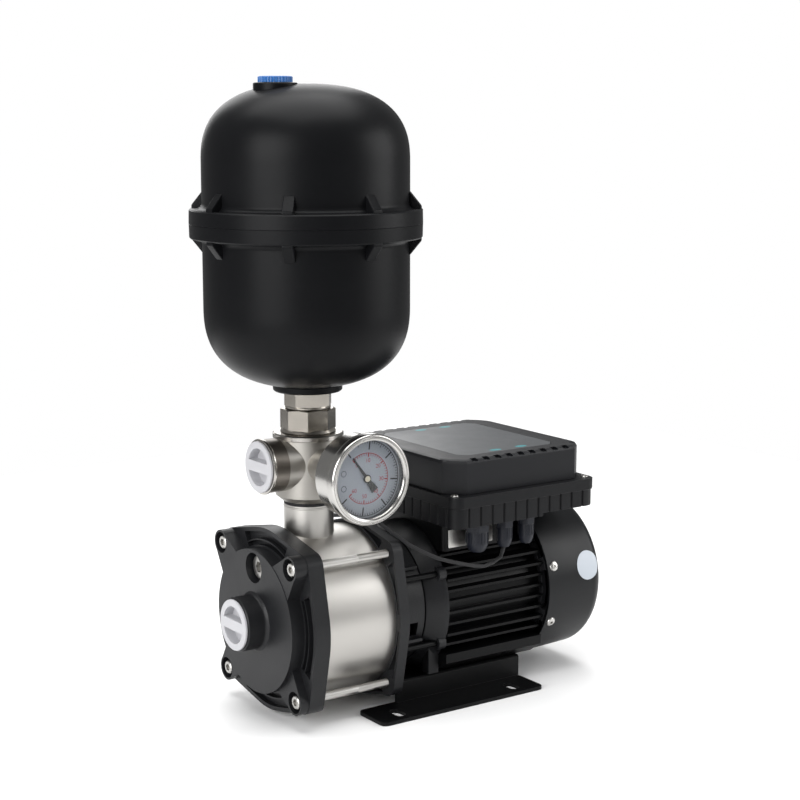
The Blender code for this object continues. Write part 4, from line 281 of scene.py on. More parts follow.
def tidy(shape: bmesh.types.BMesh, at: Sequence[float] = (0, 0, 0)) -> bmesh.types.BMesh:
    """Merge doubles, turn the faces out and move the shape.

    Args:
        shape: The shape to tidy.
        at: How far to move it.

    Returns:
        The same shape.
    """
    bmesh.ops.remove_doubles(shape, verts=shape.verts[:], dist=MERGE)
    bmesh.ops.recalc_face_normals(shape, faces=shape.faces[:])
    bmesh.ops.translate(shape, vec=at, verts=shape.verts[:])
    return shape


def bar(radius: float, start: float, end: float, axis: Axis, at: Sequence[float] = (0, 0, 0),
        steps: int = 64, turn: float = 0.0) -> bmesh.types.BMesh:
    """A round or many-sided bar between two stations.

    Args:
        radius: The radius to its corners.
        start: The first station.
        end: The last station.
        axis: The axis it lies on.
        at: A point that the axis passes through.
        steps: Its sides.
        turn: How far it is turned about its axis, in radians.

    Returns:
        The bar.
    """
    shape = bmesh.new()
    bmesh.ops.create_cone(shape, cap_ends=True, segments=steps, radius1=radius, radius2=radius,
                          depth=abs(end - start))
    stand = Vector((0, 0, 1)).rotation_difference(axis.along).to_matrix().to_4x4()
    middle = Vector(at) + axis.along * (start + end) / 2
    bmesh.ops.transform(shape, matrix=Matrix.Translation(middle) @ stand @ Matrix.Rotation(turn, 4, "Z"),
                        verts=shape.verts[:])
    return shape


def block(low: Sequence[float], high: Sequence[float]) -> bmesh.types.BMesh:
    """A block between two corners.

    Args:
        low: The lowest corner.
        high: The highest corner.

    Returns:
        The block.
    """
    shape = bmesh.new()
    bmesh.ops.create_cube(shape, size=1.0)
    bmesh.ops.scale(shape, vec=Vector(high) - Vector(low), verts=shape.verts[:])
    bmesh.ops.translate(shape, vec=(Vector(high) + Vector(low)) / 2, verts=shape.verts[:])
    return shape


def slab(outline: Outline, start: float, end: float, plane: Plane) -> bmesh.types.BMesh:
    """Draw a flat outline out between two levels.

    Args:
        outline: The corner points in the plane.
        start: The first level.
        end: The second level.
        plane: The plane and its normal.

    Returns:
        The solid.
    """
    right, up, normal = (Vector(part) for part in plane.value)
    shape = bmesh.new()
    floor = shape.faces.new([shape.verts.new(right * u + up * v + normal * start) for u, v in outline])
    raised = bmesh.ops.extrude_face_region(shape, geom=[floor])["geom"]
    bmesh.ops.translate(shape, vec=normal * (end - start),
                        verts=[part for part in raised if isinstance(part, bmesh.types.BMVert)])
    bmesh.ops.recalc_face_normals(shape, faces=shape.faces[:])
    return shape


def merged(shapes: Iterable[bmesh.types.BMesh]) -> bmesh.types.BMesh:
    """Put several shapes that stay apart into one.

    Args:
        shapes: The shapes, which are used up.

    Returns:
        One shape that holds them all.
    """
    whole = bmesh.new()
    for shape in shapes:
        holder = bpy.data.meshes.new("holder")
        shape.to_mesh(holder)
        shape.free()
        whole.from_mesh(holder)
        bpy.data.meshes.remove(holder)
    return whole


def carve(base: bmesh.types.BMesh, *steps: tuple[str, bmesh.types.BMesh]) -> bmesh.types.BMesh:
    """Join, cut or intersect a shape with others, one after the other.

    Args:
        base: The shape to work on, which is used up.
        steps: An operation's name and its tool, for each step.

    Returns:
        The result, with its doubled points merged.
    """
    for operation, tool in steps:
        work, other = _holder(base, "work"), _holder(tool, "tool")
        step = work.modifiers.new(operation, "BOOLEAN")
        step.operation = operation
        step.solver = "EXACT"
        step.object = other
        bpy.context.view_layer.update()
        mesh = bpy.data.meshes.new_from_object(work.evaluated_get(bpy.context.evaluated_depsgraph_get()))
        base = bmesh.new()
        base.from_mesh(mesh)
        bmesh.ops.remove_doubles(base, verts=base.verts[:], dist=MERGE)
        for item in (work, other):
            held = item.data
            bpy.data.objects.remove(item, do_unlink=True)
            bpy.data.meshes.remove(held)
        bpy.data.meshes.remove(mesh)
    return base


def _holder(shape: bmesh.types.BMesh, name: str) -> bpy.types.Object:
    """Give a shape an object of its own.

    Args:
        shape: The shape, which is used up.
        name: The object's name.

    Returns:
        The object, linked to the scene.
    """
    mesh = bpy.data.meshes.new(name)
    shape.to_mesh(mesh)
    shape.free()
    item = bpy.data.objects.new(name, mesh)
    bpy.context.scene.collection.objects.link(item)
    return item


def round_edges(shape: bmesh.types.BMesh, width: float, steps: int = 2, least: float = 30.0,
                chosen: Sequence[bmesh.types.BMEdge] | None = None) -> bmesh.types.BMesh:
    """Round the edges that turn by more than an angle, or the chosen ones.

    Args:
        shape: The shape.
        width: The rounding's width.
        steps: Its segments.
        least: The least angle of an edge that is rounded, in degrees.
        chosen: The edges, in place of those found by angle.

    Returns:
        The same shape.
    """
    if chosen is None:
        chosen = [edge for edge in shape.edges if len(edge.link_faces) == 2
                  and edge.calc_face_angle(0.0) > radians(least)]
    bmesh.ops.bevel(shape, geom=list(chosen), offset=width, offset_type="OFFSET", affect="EDGES",
                    segments=steps, profile=0.5, material=-1, clamp_overlap=True)
    return shape


# Outlines

def arc(centre: Point2, radius: float, start: float, end: float, steps: int) -> Outline:
    """Points along an arc.

    Args:
        centre: Its centre.
        radius: Its radius.
        start: Its first angle.
        end: Its last angle.
        steps: Its straight pieces.

    Returns:
        The points.
    """
    return [(centre[0] + radius * cos(start + (end - start) * i / steps),
             centre[1] + radius * sin(start + (end - start) * i / steps)) for i in range(steps + 1)]


def sector(inner: float, outer: float, middle: float, spread: float, steps: int = 12) -> Outline:
    """A piece of a ring.

    Args:
        inner: Its inner radius.
        outer: Its outer radius.
        middle: The angle of its middle.
        spread: Half the angle it covers.
        steps: The straight pieces of each arc.

    Returns:
        The points.
    """
    return (arc((0, 0), outer, middle - spread, middle + spread, steps)
            + arc((0, 0), inner, middle + spread, middle - spread, steps))


def superellipse(centre: float, height: float, radius: float, steps: int, power: float = 2.5) -> Outline:
    """A moulded dome's profile from its rim to its pole; a negative height hangs down.

    Args:
        centre: The height of its rim.
        height: How far the pole is from the rim.
        radius: The rim's radius.
        steps: Its straight pieces.
        power: The superellipse's power.

    Returns:
        The (height, radius) points.
    """
    angles = [pi / 2 * i / steps for i in range(steps + 1)]
    return [(centre + height * sin(a) ** (2 / power), radius * max(0.0, cos(a)) ** (2 / power)) for a in angles]


# Dressing

def dress(shape: bmesh.types.BMesh, name: str, body: str, finish: Finish, nodes: Sequence[str] = (),
          smooth: float = 35.0) -> bpy.types.Object:
    """Make a finished piece of a shape, give it its surface and let it ride.

    Args:
        shape: The shape, in millimetres, which is used up.
        name: The piece's name.
        body: The body that it rides on.
        finish: Its surface.
        nodes: The CAD nodes that it stands for.
        smooth: The angle, in degrees, above which an edge stays sharp.

    Returns:
        The piece.
    """
    shape.transform(TO_FRAME)
    mesh = bpy.data.meshes.new(name)
    shape.to_mesh(mesh)
    shape.free()
    mesh.shade_smooth()
    mesh.set_sharp_from_angle(angle=radians(smooth))
    mesh.materials.append(finish.build())
    piece = bpy.data.objects.new(name, mesh)
    bpy.context.scene.collection.objects.link(piece)
    level = piece.modifiers.new("level", "WEIGHTED_NORMAL")
    level.keep_sharp = True
    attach(piece, body)
    if nodes:
        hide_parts(*nodes)
    LOG.info("%s: %d faces", name, len(mesh.polygons))
    return piece


def refine(node: str, body: str, finish: Finish, width: float = 0.0, steps: int = 2) -> bpy.types.Object:
    """Stand a merged and smoothed copy of a CAD node in its place, with its edges eased.

    Args:
        node: The CAD node.
        body: The body that it belongs to.
        finish: Its surface.
        width: The easing's width, in millimetres.
        steps: The easing's segments.

    Returns:
        The copy.
    """
    shape = bmesh.new()
    shape.from_mesh(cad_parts[node].data)
    shape.transform(TO_FRAME.inverted())
    bmesh.ops.remove_doubles(shape, verts=shape.verts[:], dist=MERGE)
    bmesh.ops.dissolve_limit(shape, angle_limit=radians(1.0), verts=shape.verts[:], edges=shape.edges[:])
    if width > 0.0:
        round_edges(shape, width, steps, 38.0)
    return dress(shape, node + "_dressed", body, finish, [node], 38.0)


def paint(finish: Finish, *nodes: str) -> None:
    """Give CAD nodes that keep their own shape a finish.

    Args:
        finish: The surface.
        nodes: The nodes.
    """
    for node in nodes:
        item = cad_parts[node]
        item.data.materials.clear()
        item.data.materials.append(finish.build())


@dataclass
class CastOutline:
    """The lugged outline that the suction cover and the motor bracket share."""
    main_r: float = 71.4
    lug_r: float = 10.4
    offset: float = 51.45

    def points(self, inset: float = 0.0) -> Outline:
        """The outline, drawn in by an inset.

        Args:
            inset: How far inside the full outline.

        Returns:
            The points.
        """
        reach = self.offset * sqrt(2)
        spread = acos((self.main_r - self.lug_r) / reach)
        made: Outline = []
        for corner in range(4):
            middle = pi / 4 + corner * pi / 2
            centre = (reach * cos(middle), reach * sin(middle))
            made += arc(centre, self.lug_r - inset, middle - spread, middle + spread, 18)
            made += arc((0, 0), self.main_r - inset, middle + spread, middle + pi / 2 - spread, 10)
        return made

    @staticmethod
    def reach(limits: Outline, angle: float) -> Point2:
        """Where a ray at an angle meets the inset outline.

        Args:
            limits: The inset outline.
            angle: The ray's angle.

        Returns:
            The meeting point.
        """
        ray, graze = Vector((cos(angle), sin(angle))), 1e-6
        best = 0.0
        for a, b in zip(limits, limits[1:] + limits[:1]):
            edge = Vector(b) - Vector(a)
            cross = ray.x * edge.y - ray.y * edge.x
            if abs(cross) < 1e-9:
                continue
            length = (a[0] * edge.y - a[1] * edge.x) / cross
            share = (a[0] * ray.y - a[1] * ray.x) / cross
            if -graze <= share <= 1.0 + graze and length > best:
                best = length
        return (ray.x * best, ray.y * best)

    def opening(self, inner: float, inset: float, low: float, high: float) -> Outline:
        """An opening between an inner radius and the inset outline.

        Args:
            inner: The radius of its inner side.
            inset: How far inside the full outline its outer side is.
            low: Its first angle.
            high: Its last angle.

        Returns:
            The points.
        """
        limits = self.points(inset)
        return arc((0, 0), inner, low, high, 14) + [self.reach(limits, high - (high - low) * i / 14)
                                                    for i in range(15)]

    def corners(self) -> list[Point2]:
        """The four bolt centres, upper ones first."""
        return [(side * self.offset, height * self.offset) for height in (1, -1) for side in (-1, 1)]


@dataclass
class SuctionEnd:
    """The suction cover, its plugs and the four tie bolts."""
    outline: CastOutline = field(default_factory=CastOutline)
    cover_rear: float = -25.7
    rim_front: float = -39.0
    disc_front: float = -50.0
    spigot_end: float = -66.6
    disc_r: float = 55.9
    spigot_r: float = 21.0
    bore_r: float = 16.6
    priming_z: float = 42.0
    bell_front: float = 37.4
    socket_r: float = 65.3
    socket_floor: float = -31.0
    chamber_r: float = 51.0
    chamber_floor: float = -44.0
    priming_r: float = 11.8
    priming_floor: float = -37.0
    head_r: float = 8.4
    hole_r: float = 3.6
    pad_r: float = 10.0
    pad_spread: float = radians(17)
    groove: Point2 = (57.6, 61.2)
    window_r: float = 62.4
    window_inset: float = 3.2
    pocket_depth: float = 4.4
    pocket_spread: float = radians(27)

    def build(self) -> None:
        """Make every piece of the suction end."""
        self.cover()
        self.plug("suction_plug", "suction_closure", self.spigot_end, 0.0)
        self.priming()
        self.bolts()

    def cover(self) -> None:
        """Cast the cover: plate, raised disc, spigot, pads, pockets and bores."""
        rim, front, rear = self.rim_front, self.disc_front - 1, self.cover_rear + 1
        spigot = lathe([(self.disc_front + 1, 0), (self.disc_front + 1, self.spigot_r + 2.2),
                        (self.disc_front, self.spigot_r + 2.2), (self.disc_front - 1.6, self.spigot_r + 0.5),
                        (self.disc_front - 3.0, self.spigot_r), (self.spigot_end + 0.8, self.spigot_r),
                        (self.spigot_end, self.spigot_r - 0.8), (self.spigot_end, 0)], Axis.X, steps=96)
        pads, cuts = [], [lathe([(rear, 0), (rear, self.socket_r), (self.socket_floor, self.socket_r),
                                 (self.socket_floor, self.chamber_r), (self.chamber_floor, self.chamber_r),
                                 (self.chamber_floor, 0)], Axis.X)]
        reach = self.outline.offset * sqrt(2)
        for y, z in self.outline.corners():
            middle = (pi / 4 if y > 0 else 3 * pi / 4) * (1 if z > 0 else -1)
            pad_front = self.disc_front + 0.4 if z > 0 else rim - 7.0
            pad = arc((reach * cos(middle), reach * sin(middle)), self.pad_r, middle - pi / 2, middle + pi / 2, 20)
            pad += arc((0, 0), self.disc_r - 2, middle + self.pad_spread, middle - self.pad_spread, 4)
            pads.append(slab(pad, pad_front, rim + 1, Plane.ACROSS))
            seat = self.seat(z)
            cuts.append(lathe([(front, 0), (front, self.head_r), (seat, self.head_r), (seat, self.hole_r),
                               (rear, self.hole_r), (rear, 0)], Axis.X, (0, y, z), 48))
        for side in range(4):
            low, high = side * pi / 2 - self.pocket_spread, side * pi / 2 + self.pocket_spread
            for pocket in (sector(*self.groove, side * pi / 2, self.pocket_spread),
                           self.outline.opening(self.window_r, self.window_inset, low, high)):
                cuts.append(slab(pocket, front, rim + self.pocket_depth, Plane.ACROSS))
        boss = (0, 0, self.priming_z)
        bores = [lathe([(front, 0), (front, self.priming_r), (self.priming_floor, self.priming_r),
                        (self.priming_floor, 6.7), (-30, 6.7), (-30, 0)], Axis.X, boss, 64),
                 bar(self.bore_r, self.spigot_end - 1, self.chamber_floor + 1, Axis.X, steps=96)]
        shape = carve(slab(self.outline.points(), rim, self.cover_rear, Plane.ACROSS),
                      ("UNION", bar(self.disc_r, self.disc_front, rim + 1, Axis.X, steps=128)), ("UNION", spigot),
                      ("UNION", merged(pads)), ("DIFFERENCE", merged(cuts)),
                      ("UNION", bar(self.priming_r + 2, -45, -31.5, Axis.X, boss)),
                      ("DIFFERENCE", merged(bores)))
        round_edges(shape, 0.7, 2, 40.0)
        dress(shape, "suction_cover_cast", "pump", CASTING, ["suction_cover"])

    def seat(self, z: float) -> float:
        """The station of a bolt head's seat; the upper lugs are taller."""
        return self.rim_front - (3.0 if z > 0 else 0.0)

    def plug(self, node: str, body: str, port_end: float, height: float) -> None:
        """Mould a port plug with two half-round recesses and a grip bar.

        Args:
            node: The CAD node that it stands for.
            body: The body that it rides on.
            port_end: The station of the port's end face.
            height: The height of the port's axis.
        """
        seat = port_end - 0.3
        face = seat - 1.9
        at = (0, 0, height)
        body_shape = lathe([(face, 0), (face, 19.1), (face + 0.2, 19.5), (face + 0.7, 19.7), (seat, 19.7),
                            (seat, 16.2), (seat + 10.5, 16.2), (seat + 10.5, 0)], Axis.X, at)
        half = asin(4.2 / 14.4)
        steps = []
        for turn in (0.0, pi):
            moon = [(y, z + height) for y, z in arc((0, 0), 14.4, half + turn, pi - half + turn, 28)]
            steps.append(("DIFFERENCE", slab(moon, face - 1, face + 8, Plane.ACROSS)))
        shape = round_edges(carve(body_shape, *steps), 0.45, 2, 50.0)
        dress(shape, node + "_moulded", body, PLUG_WHITE, [node])

    def priming(self) -> None:
        """Turn the priming plug, with its hexagon socket and a washer line."""
        at = (0, 0, self.priming_z)
        body_shape = lathe([(-45.3, 0), (-45.3, 8.4), (-44.9, 9.2), (-44.3, 9.6), (-37.3, 9.6), (-37.3, 6.4),
                            (-31.5, 6.4), (-31.5, 0)], Axis.X, at, 64)
        shape = carve(body_shape, ("DIFFERENCE", bar(4.5, -47, -40.3, Axis.X, at, 6)))
        dress(round_edges(shape, 0.25, 2, 50.0), "priming_plug_turned", "priming_closure", BOLT_STEEL,
              ["priming_plug"])

    def bolts(self) -> None:
        """Turn the four tie bolts: socket head, plain shank, step and thread."""
        thread_start, end = 10.0, self.bell_front + 6.8
        for number, (y, z) in enumerate(self.outline.corners(), start=1):
            seat = self.seat(z) - 0.3
            profile: Outline = [(seat - 6, 0), (seat - 6, 4.5), (seat - 5.4, 5.2), (seat, 5.2), (seat, 3.3),
                                (thread_start, 3.3)]
            station = thread_start + 0.4
            while station < end - 1.0:
                profile += [(station, 2.85), (station + 0.5, 3.2)]
                station += 1.0
            profile += [(end, 2.85), (end, 0)]
            body_shape = lathe(profile, Axis.X, (0, y, z), 32)
            shape = carve(body_shape, ("DIFFERENCE", bar(2.9, seat - 7, seat - 3, Axis.X, (0, y, z), 6)))
            dress(shape, f"tie_bolt_{number}_turned", "pump", BOLT_STEEL, [f"tie_bolt_{number}"], 25.0)


@dataclass
class Sleeve:
    """The stainless sleeve with its welded neck."""
    radius: float = 65.0
    wall: float = 1.2
    front: float = -30.7
    rear: float = 41.4
    neck_r: float = 19.3
    neck_top: float = 87.2

    def build(self) -> None:
        """Roll the sleeve, weld the neck on with a small fillet and bore both."""
        tube = bar(self.radius, self.front, self.rear, Axis.X, steps=192)
        shape = carve(tube, ("UNION", bar(self.neck_r, 0, self.neck_top, Axis.Z, steps=96)))
        weld = [edge for edge in shape.edges
                if all(abs(v.co.xy.length - self.neck_r) < 0.15 and 50 < v.co.z < 70 for v in edge.verts)
                and edge.calc_face_angle(0.0) > radians(25)]
        round_edges(shape, 2.4, 5, chosen=weld)
        shape = carve(shape, ("DIFFERENCE", bar(self.radius - self.wall, self.front - 1, self.rear + 1, Axis.X,
                                                steps=192)),
                      ("DIFFERENCE", bar(self.neck_r - 1.5, 30, self.neck_top + 1, Axis.Z, steps=96)))
        dress(shape, "pump_sleeve_rolled", "pump", SLEEVE_STEEL, ["pump_sleeve"], 30.0)
        ring = lathe([(84.6, self.neck_r - 0.1), (85.0, self.neck_r + 0.35), (85.8, self.neck_r + 0.35),
                      (86.2, self.neck_r - 0.1)], Axis.Z)
        dress(ring, "neck_bead", "pump", SLEEVE_STEEL)


@dataclass
class Bracket:
    """The motor bracket with its lugged flange, lantern and front shield."""
    outline: CastOutline = field(default_factory=CastOutline)
    front: float = 37.4
    rear: float = 45.9
    lantern_r: float = 53.0
    shield_rear: float = 91.0
    sole: float = -54.4
    stud_y: float = 52.0
    stud_z: float = 28.0

    def build(self) -> None:
        """Cast the bracket and turn its stay bolts."""
        steps = [("DIFFERENCE", bar(65.3, self.front - 1, self.rear + 1, Axis.X, steps=192)),
                 ("UNION", lathe(self.bell_profile(), Axis.X, steps=128))]
        for low, high in self.window_levels():
            steps.append(("DIFFERENCE", self.window(low, high)))
        for y, z in self.outline.corners():
            steps.append(("DIFFERENCE", bar(3.6, self.front - 1, 44.5, Axis.X, (0, y, z), 32)))
        for side in (-1, 1):
            for z in (34.0, -22.5):
                reach = sqrt(self.lantern_r ** 2 - z ** 2)
                ys = sorted((side * (reach - 2.5), side * (reach + 4.5)))
                steps.append(("UNION", block((self.rear - 1, ys[0], z - 1.1), (71.0, ys[1], z + 1.1))))
            ys = sorted((side * 38.0, side * 47.0))
            steps.append(("UNION", block((81.0, ys[0], self.sole - 0.3), (90.5, ys[1], -30))))
            for z in (self.stud_z, -self.stud_z):
                steps.append(("UNION", bar(5.6, 84.0, self.shield_rear - 0.3, Axis.X,
                                           (0, side * self.stud_y, z), 40)))
        for side in (-1, 1):
            for z in (self.stud_z, -self.stud_z):
                steps.append(("DIFFERENCE", bar(2.8, 43.4, 89.0, Axis.X, (0, side * self.stud_y, z), 24)))
        steps.append(("DIFFERENCE", block((49.8, -62, -75), (92.0, 62, self.sole))))
        steps.append(("DIFFERENCE", block((56.9, -54, -19), (66.9, 54, -8))))
        shape = carve(slab(self.outline.points(), self.front, self.rear, Plane.ACROSS), *steps)
        round_edges(shape, 0.45, 2, 45.0)
        dress(shape, "motor_bracket_cast", "pump", CASTING, ["motor_bracket"])
        places = [(side * self.stud_y, height * self.stud_z) for height in (1, -1) for side in (-1, 1)]
        for number, (y, z) in enumerate(places, start=1):
            stud = lathe([(43.7, 0), (43.7, 2.5), (88.7, 2.5), (88.7, 0)], Axis.X, (0, y, z), 32)
            dress(stud, f"motor_bolt_{number}_turned", "pump", MOTOR_PAINT, [f"motor_bolt_{number}"])

    def bell_profile(self) -> Outline:
        """The turned section of the bell, the lantern and the shield."""
        web = self.rear + 0.6
        inner = web + 0.2
        return [(41.7, 15.3), (41.7, 67.5), (web, 67.5), (web, 54.2), (web + 1.2, 53.0), (72.8, self.lantern_r),
                (72.8, 51.8), (74.0, 51.8), (74.0, 53.6), (86.0, 60.5), (91.0, 61.0), (91.0, 49.4), (96.0, 49.4),
                (96.0, 46.4), (90.7, 46.4), (90.7, 20.3), (78.2, 20.3), (78.2, 10.2), (75.7, 10.2), (75.7, 24.3),
                (85.0, 24.3), (85.0, 48.0), (inner, 48.0), (inner, 19.3), (inner + 3.5, 19.3), (inner + 3.5, 10.2),
                (46.0, 10.2), (46.0, 15.3)]

    def window_levels(self) -> list[tuple[float, float]]:
        """The angles, in radians, that each lightening window spans."""
        edge = asin(6.5 / 68.0)
        spans = []
        for corner in range(4):
            middle = pi / 4 + corner * pi / 2
            lug = asin(9.3 / (self.outline.offset * sqrt(2)))
            spans.append((corner * pi / 2 + edge, middle - lug))
            spans.append((middle + lug, (corner + 1) * pi / 2 - edge))
        return spans

    def window(self, low: float, high: float) -> bmesh.types.BMesh:
        """One curved-triangle window of the flange.

        Args:
            low: Its first angle.
            high: Its last angle.

        Returns:
            The tool that cuts it.
        """
        return slab(self.outline.opening(67.6, 2.6, low, high), self.front - 1, self.rear + 2, Plane.ACROSS)


@dataclass
class Motor:
    """The finned frame, its fan cover with screws, the base and the terminal base."""
    cover_front: float = 188.3
    cover_rear: float = 248.0
    cover_r: float = 66.0
    wall: float = 2.2

    def build(self) -> None:
        """Dress the frame and make the fan end."""
        refine("motor_frame", "pump", MOTOR_PAINT, 0.35)
        refine("base_bracket", "pump", BASE_PAINT, 0.4)
        refine("terminal_base", "pump", MOTOR_PAINT, 0.8, 3)
        refine("rating_plate", "pump", BOLT_STEEL, 0.08, 1)
        refine("rear_end_shield", "pump", CASTING, 0.5)
        refine("fan", "rotor", GLAND_BLACK, 0.2)
        self.fan_cover()
        self.fasteners()

    def outer(self) -> Outline:
        """The fan cover's outer profile."""
        front, rear, r = self.cover_front, self.cover_rear, self.cover_r
        corner = [(rear - 11 + 11 * sin(a), r - 12.5 + 11 * cos(a)) for a in (pi / 2 * i / 9 for i in range(10))]
        return [(front, r), (front + 20, r - 0.4), *corner, (rear, 0)]

    def fan_cover(self) -> None:
        """Draw the cover and pierce its two rings of slots."""
        outside = self.outer()
        inside = [(min(x, self.cover_rear - self.wall), max(0.0, r - self.wall)) for x, r in outside]
        cuts = []
        for count, start, end in ((10, 13.0, 25.0), (20, 29.0, self.cover_r - 24.0)):
            for number in range(count):
                middle = 2 * pi * number / count
                cuts.append(slab(sector(start, end, middle, 2.2 / end, 2), self.cover_rear - 4,
                                 self.cover_rear + 1, Plane.ACROSS))
        shape = carve(lathe(outside + inside[::-1], Axis.X, steps=128), ("DIFFERENCE", merged(cuts)))
        dress(shape, "fan_cover_drawn", "pump", COVER_PAINT, ["fan_cover"], 30.0)
        lip = lathe([(self.cover_front, self.cover_r - 0.4), (self.cover_front, self.cover_r - 0.02),
                     (self.cover_front + 1.6, self.cover_r - 0.02), (self.cover_front + 1.9, self.cover_r - 0.4)],
                    Axis.X, steps=128)
        dress(lip, "fan_cover_lip", "pump", COVER_PAINT)

    def fasteners(self) -> None:
        """Set the four button screws and the round blank sticker on the fan cover."""
        screws = []
        for side in (-1, 1):
            for z in (19.8, -27.2):
                reach = self.cover_r - 0.9
                y = side * sqrt(reach ** 2 - z ** 2)
                head = lathe([(0, 0), (0, 4.2), (0.5, 4.2), (1.5, 3.6), (2.0, 2.4), (2.2, 0)], Axis.X, steps=32)
                head = carve(head, ("DIFFERENCE", bar(1.4, 1.0, 3.0, Axis.X, steps=6)))
                aim = Vector((1, 0, 0)).rotation_difference(Vector((0, y, z)).normalized()).to_matrix().to_4x4()
                head.transform(Matrix.Translation((194.8, y, z)) @ aim)
                screws.append(head)
        dress(merged(screws), "fan_cover_screws", "pump", BOLT_STEEL)
        disc = bmesh.new()
        bmesh.ops.create_circle(disc, cap_ends=True, segments=48, radius=11.7)
        bmesh.ops.subdivide_edges(disc, edges=disc.edges[:], cuts=1)
        bmesh.ops.triangulate(disc, faces=disc.faces[:])
        bmesh.ops.subdivide_edges(disc, edges=disc.edges[:], cuts=3, use_grid_fill=True)
        for vert in disc.verts:
            x, z = 231.0 + vert.co.x, 15.5 + vert.co.y
            radius = self._cover_radius(x) + 0.3
            vert.co = (x, -sqrt(max(0.0, radius ** 2 - z ** 2)), z)
        bmesh.ops.recalc_face_normals(disc, faces=disc.faces[:])
        dress(disc, "fan_cover_sticker", "pump", STICKER, smooth=60.0)

    def _cover_radius(self, station: float) -> float:
        """The cover's outer radius at a station."""
        points = self.outer()
        for (a, ra), (b, rb) in zip(points, points[1:]):
            if a <= station <= b and b > a:
                return ra + (rb - ra) * (station - a) / (b - a)
        return self.cover_r


@dataclass
class Drive:
    """The speed drive: lower shell, lid, key panel, screws and glands."""
    front: float = 81.0
    rear: float = 224.0
    half: float = 81.0
    lip_top: float = 93.5
    lid_top: float = 120.8
    glands: tuple[tuple[float, float], ...] = ((116.0, 9.3), (143.0, 6.8), (165.0, 6.6))
    mark_places: tuple[Point2, ...] = ((142.0, -52.0), (168.0, -51.5), (143.0, 51.5), (168.0, 51.5))

    def build(self) -> None:
        """Dress the drive and add its small pieces."""
        refine("controller_base", "pump", DRIVE_BLACK, 0.5)
        refine("controller_cover", "pump", LID_GREY, 0.6, 3)
        refine("keypad_label", "pump", PANEL_GREY, 0.08, 1)
        paint(BOARD, "drive_board")
        self.marks()
        self.corner_screws()
        for number, (x, radius) in enumerate(self.glands, start=1):
            self.gland(number, x, radius)

    def marks(self) -> None:
        """Lay four plain oval key marks on the panel."""
        made = []
        top = self.lid_top
        for u, v in self.mark_places:
            oval = lathe([(top, 0), (top, 3.4), (top + 0.06, 3.4), (top + 0.06, 0)], Axis.Z, steps=40)
            bmesh.ops.scale(oval, vec=(1.6, 0.8, 1.0), verts=oval.verts[:])
            bmesh.ops.translate(oval, vec=(u, v, 0.0), verts=oval.verts[:])
            made.append(oval)
        dress(merged(made), "panel_marks", "pump", MARK_TEAL)

    def corner_screws(self) -> None:
        """Seat a cross-recessed screw at each corner of the lower shell's lip."""
        made = []
        for x in (self.front + 6.5, self.rear - 6.0):
            for y in (-self.half + 9.5, self.half - 9.5):
                low = self.lip_top - 3.0
                head = lathe([(low, 0), (low, 3.2), (low + 3.2, 3.2), (low + 4.0, 2.6), (low + 4.3, 0)], Axis.Z,
                             (x, y, 0), 32)
                cross = [("DIFFERENCE", block((x - a, y - b, low + 3.2), (x + a, y + b, low + 5)))
                         for a, b in ((2.0, 0.4), (0.4, 2.0))]
                made.append(carve(head, *cross))
        dress(merged(made), "drive_screws", "pump", BOLT_STEEL)

    def gland(self, number: int, x: float, radius: float) -> None:
        """Turn a domed gland with its hexagon and grip ribs.

        Args:
            number: The gland's number.
            x: Its place along the drive.
            radius: Its radius.
        """
        top, low = 68.2, 44.5
        at = (x, -63.0, 0)
        dome = lathe([(low, 1.8), (low, radius * 0.60), (low + 1.5, radius * 0.74), (low + 4, radius * 0.88),
                      (low + 6.5, radius * 0.94), (top - 7.2, radius * 0.94), (top - 7.2, radius * 0.8),
                      (top, radius * 0.8), (top, 1.8)], Axis.Z, at, 64)
        collar = carve(bar(radius * 1.08, top - 7.6, top - 1.4, Axis.Z, at, 6, pi / 6),
                       ("DIFFERENCE", bar(radius * 0.78, top - 9, top, Axis.Z, at, 48)))
        collar = round_edges(collar, 0.4, 2, 40.0)
        ribs = []
        for i in range(18):
            angle = 2 * pi * i / 18
            rib = block((radius * 0.90, -0.35, low + 7), (radius * 0.985, 0.35, top - 8.0))
            rib.transform(Matrix.Translation(at) @ Matrix.Rotation(angle, 4, "Z"))
            ribs.append(rib)
        dress(merged([dome, collar, *ribs]), f"gland_{number}_moulded", "pump", GLAND_BLACK, [f"gland_{number}"])


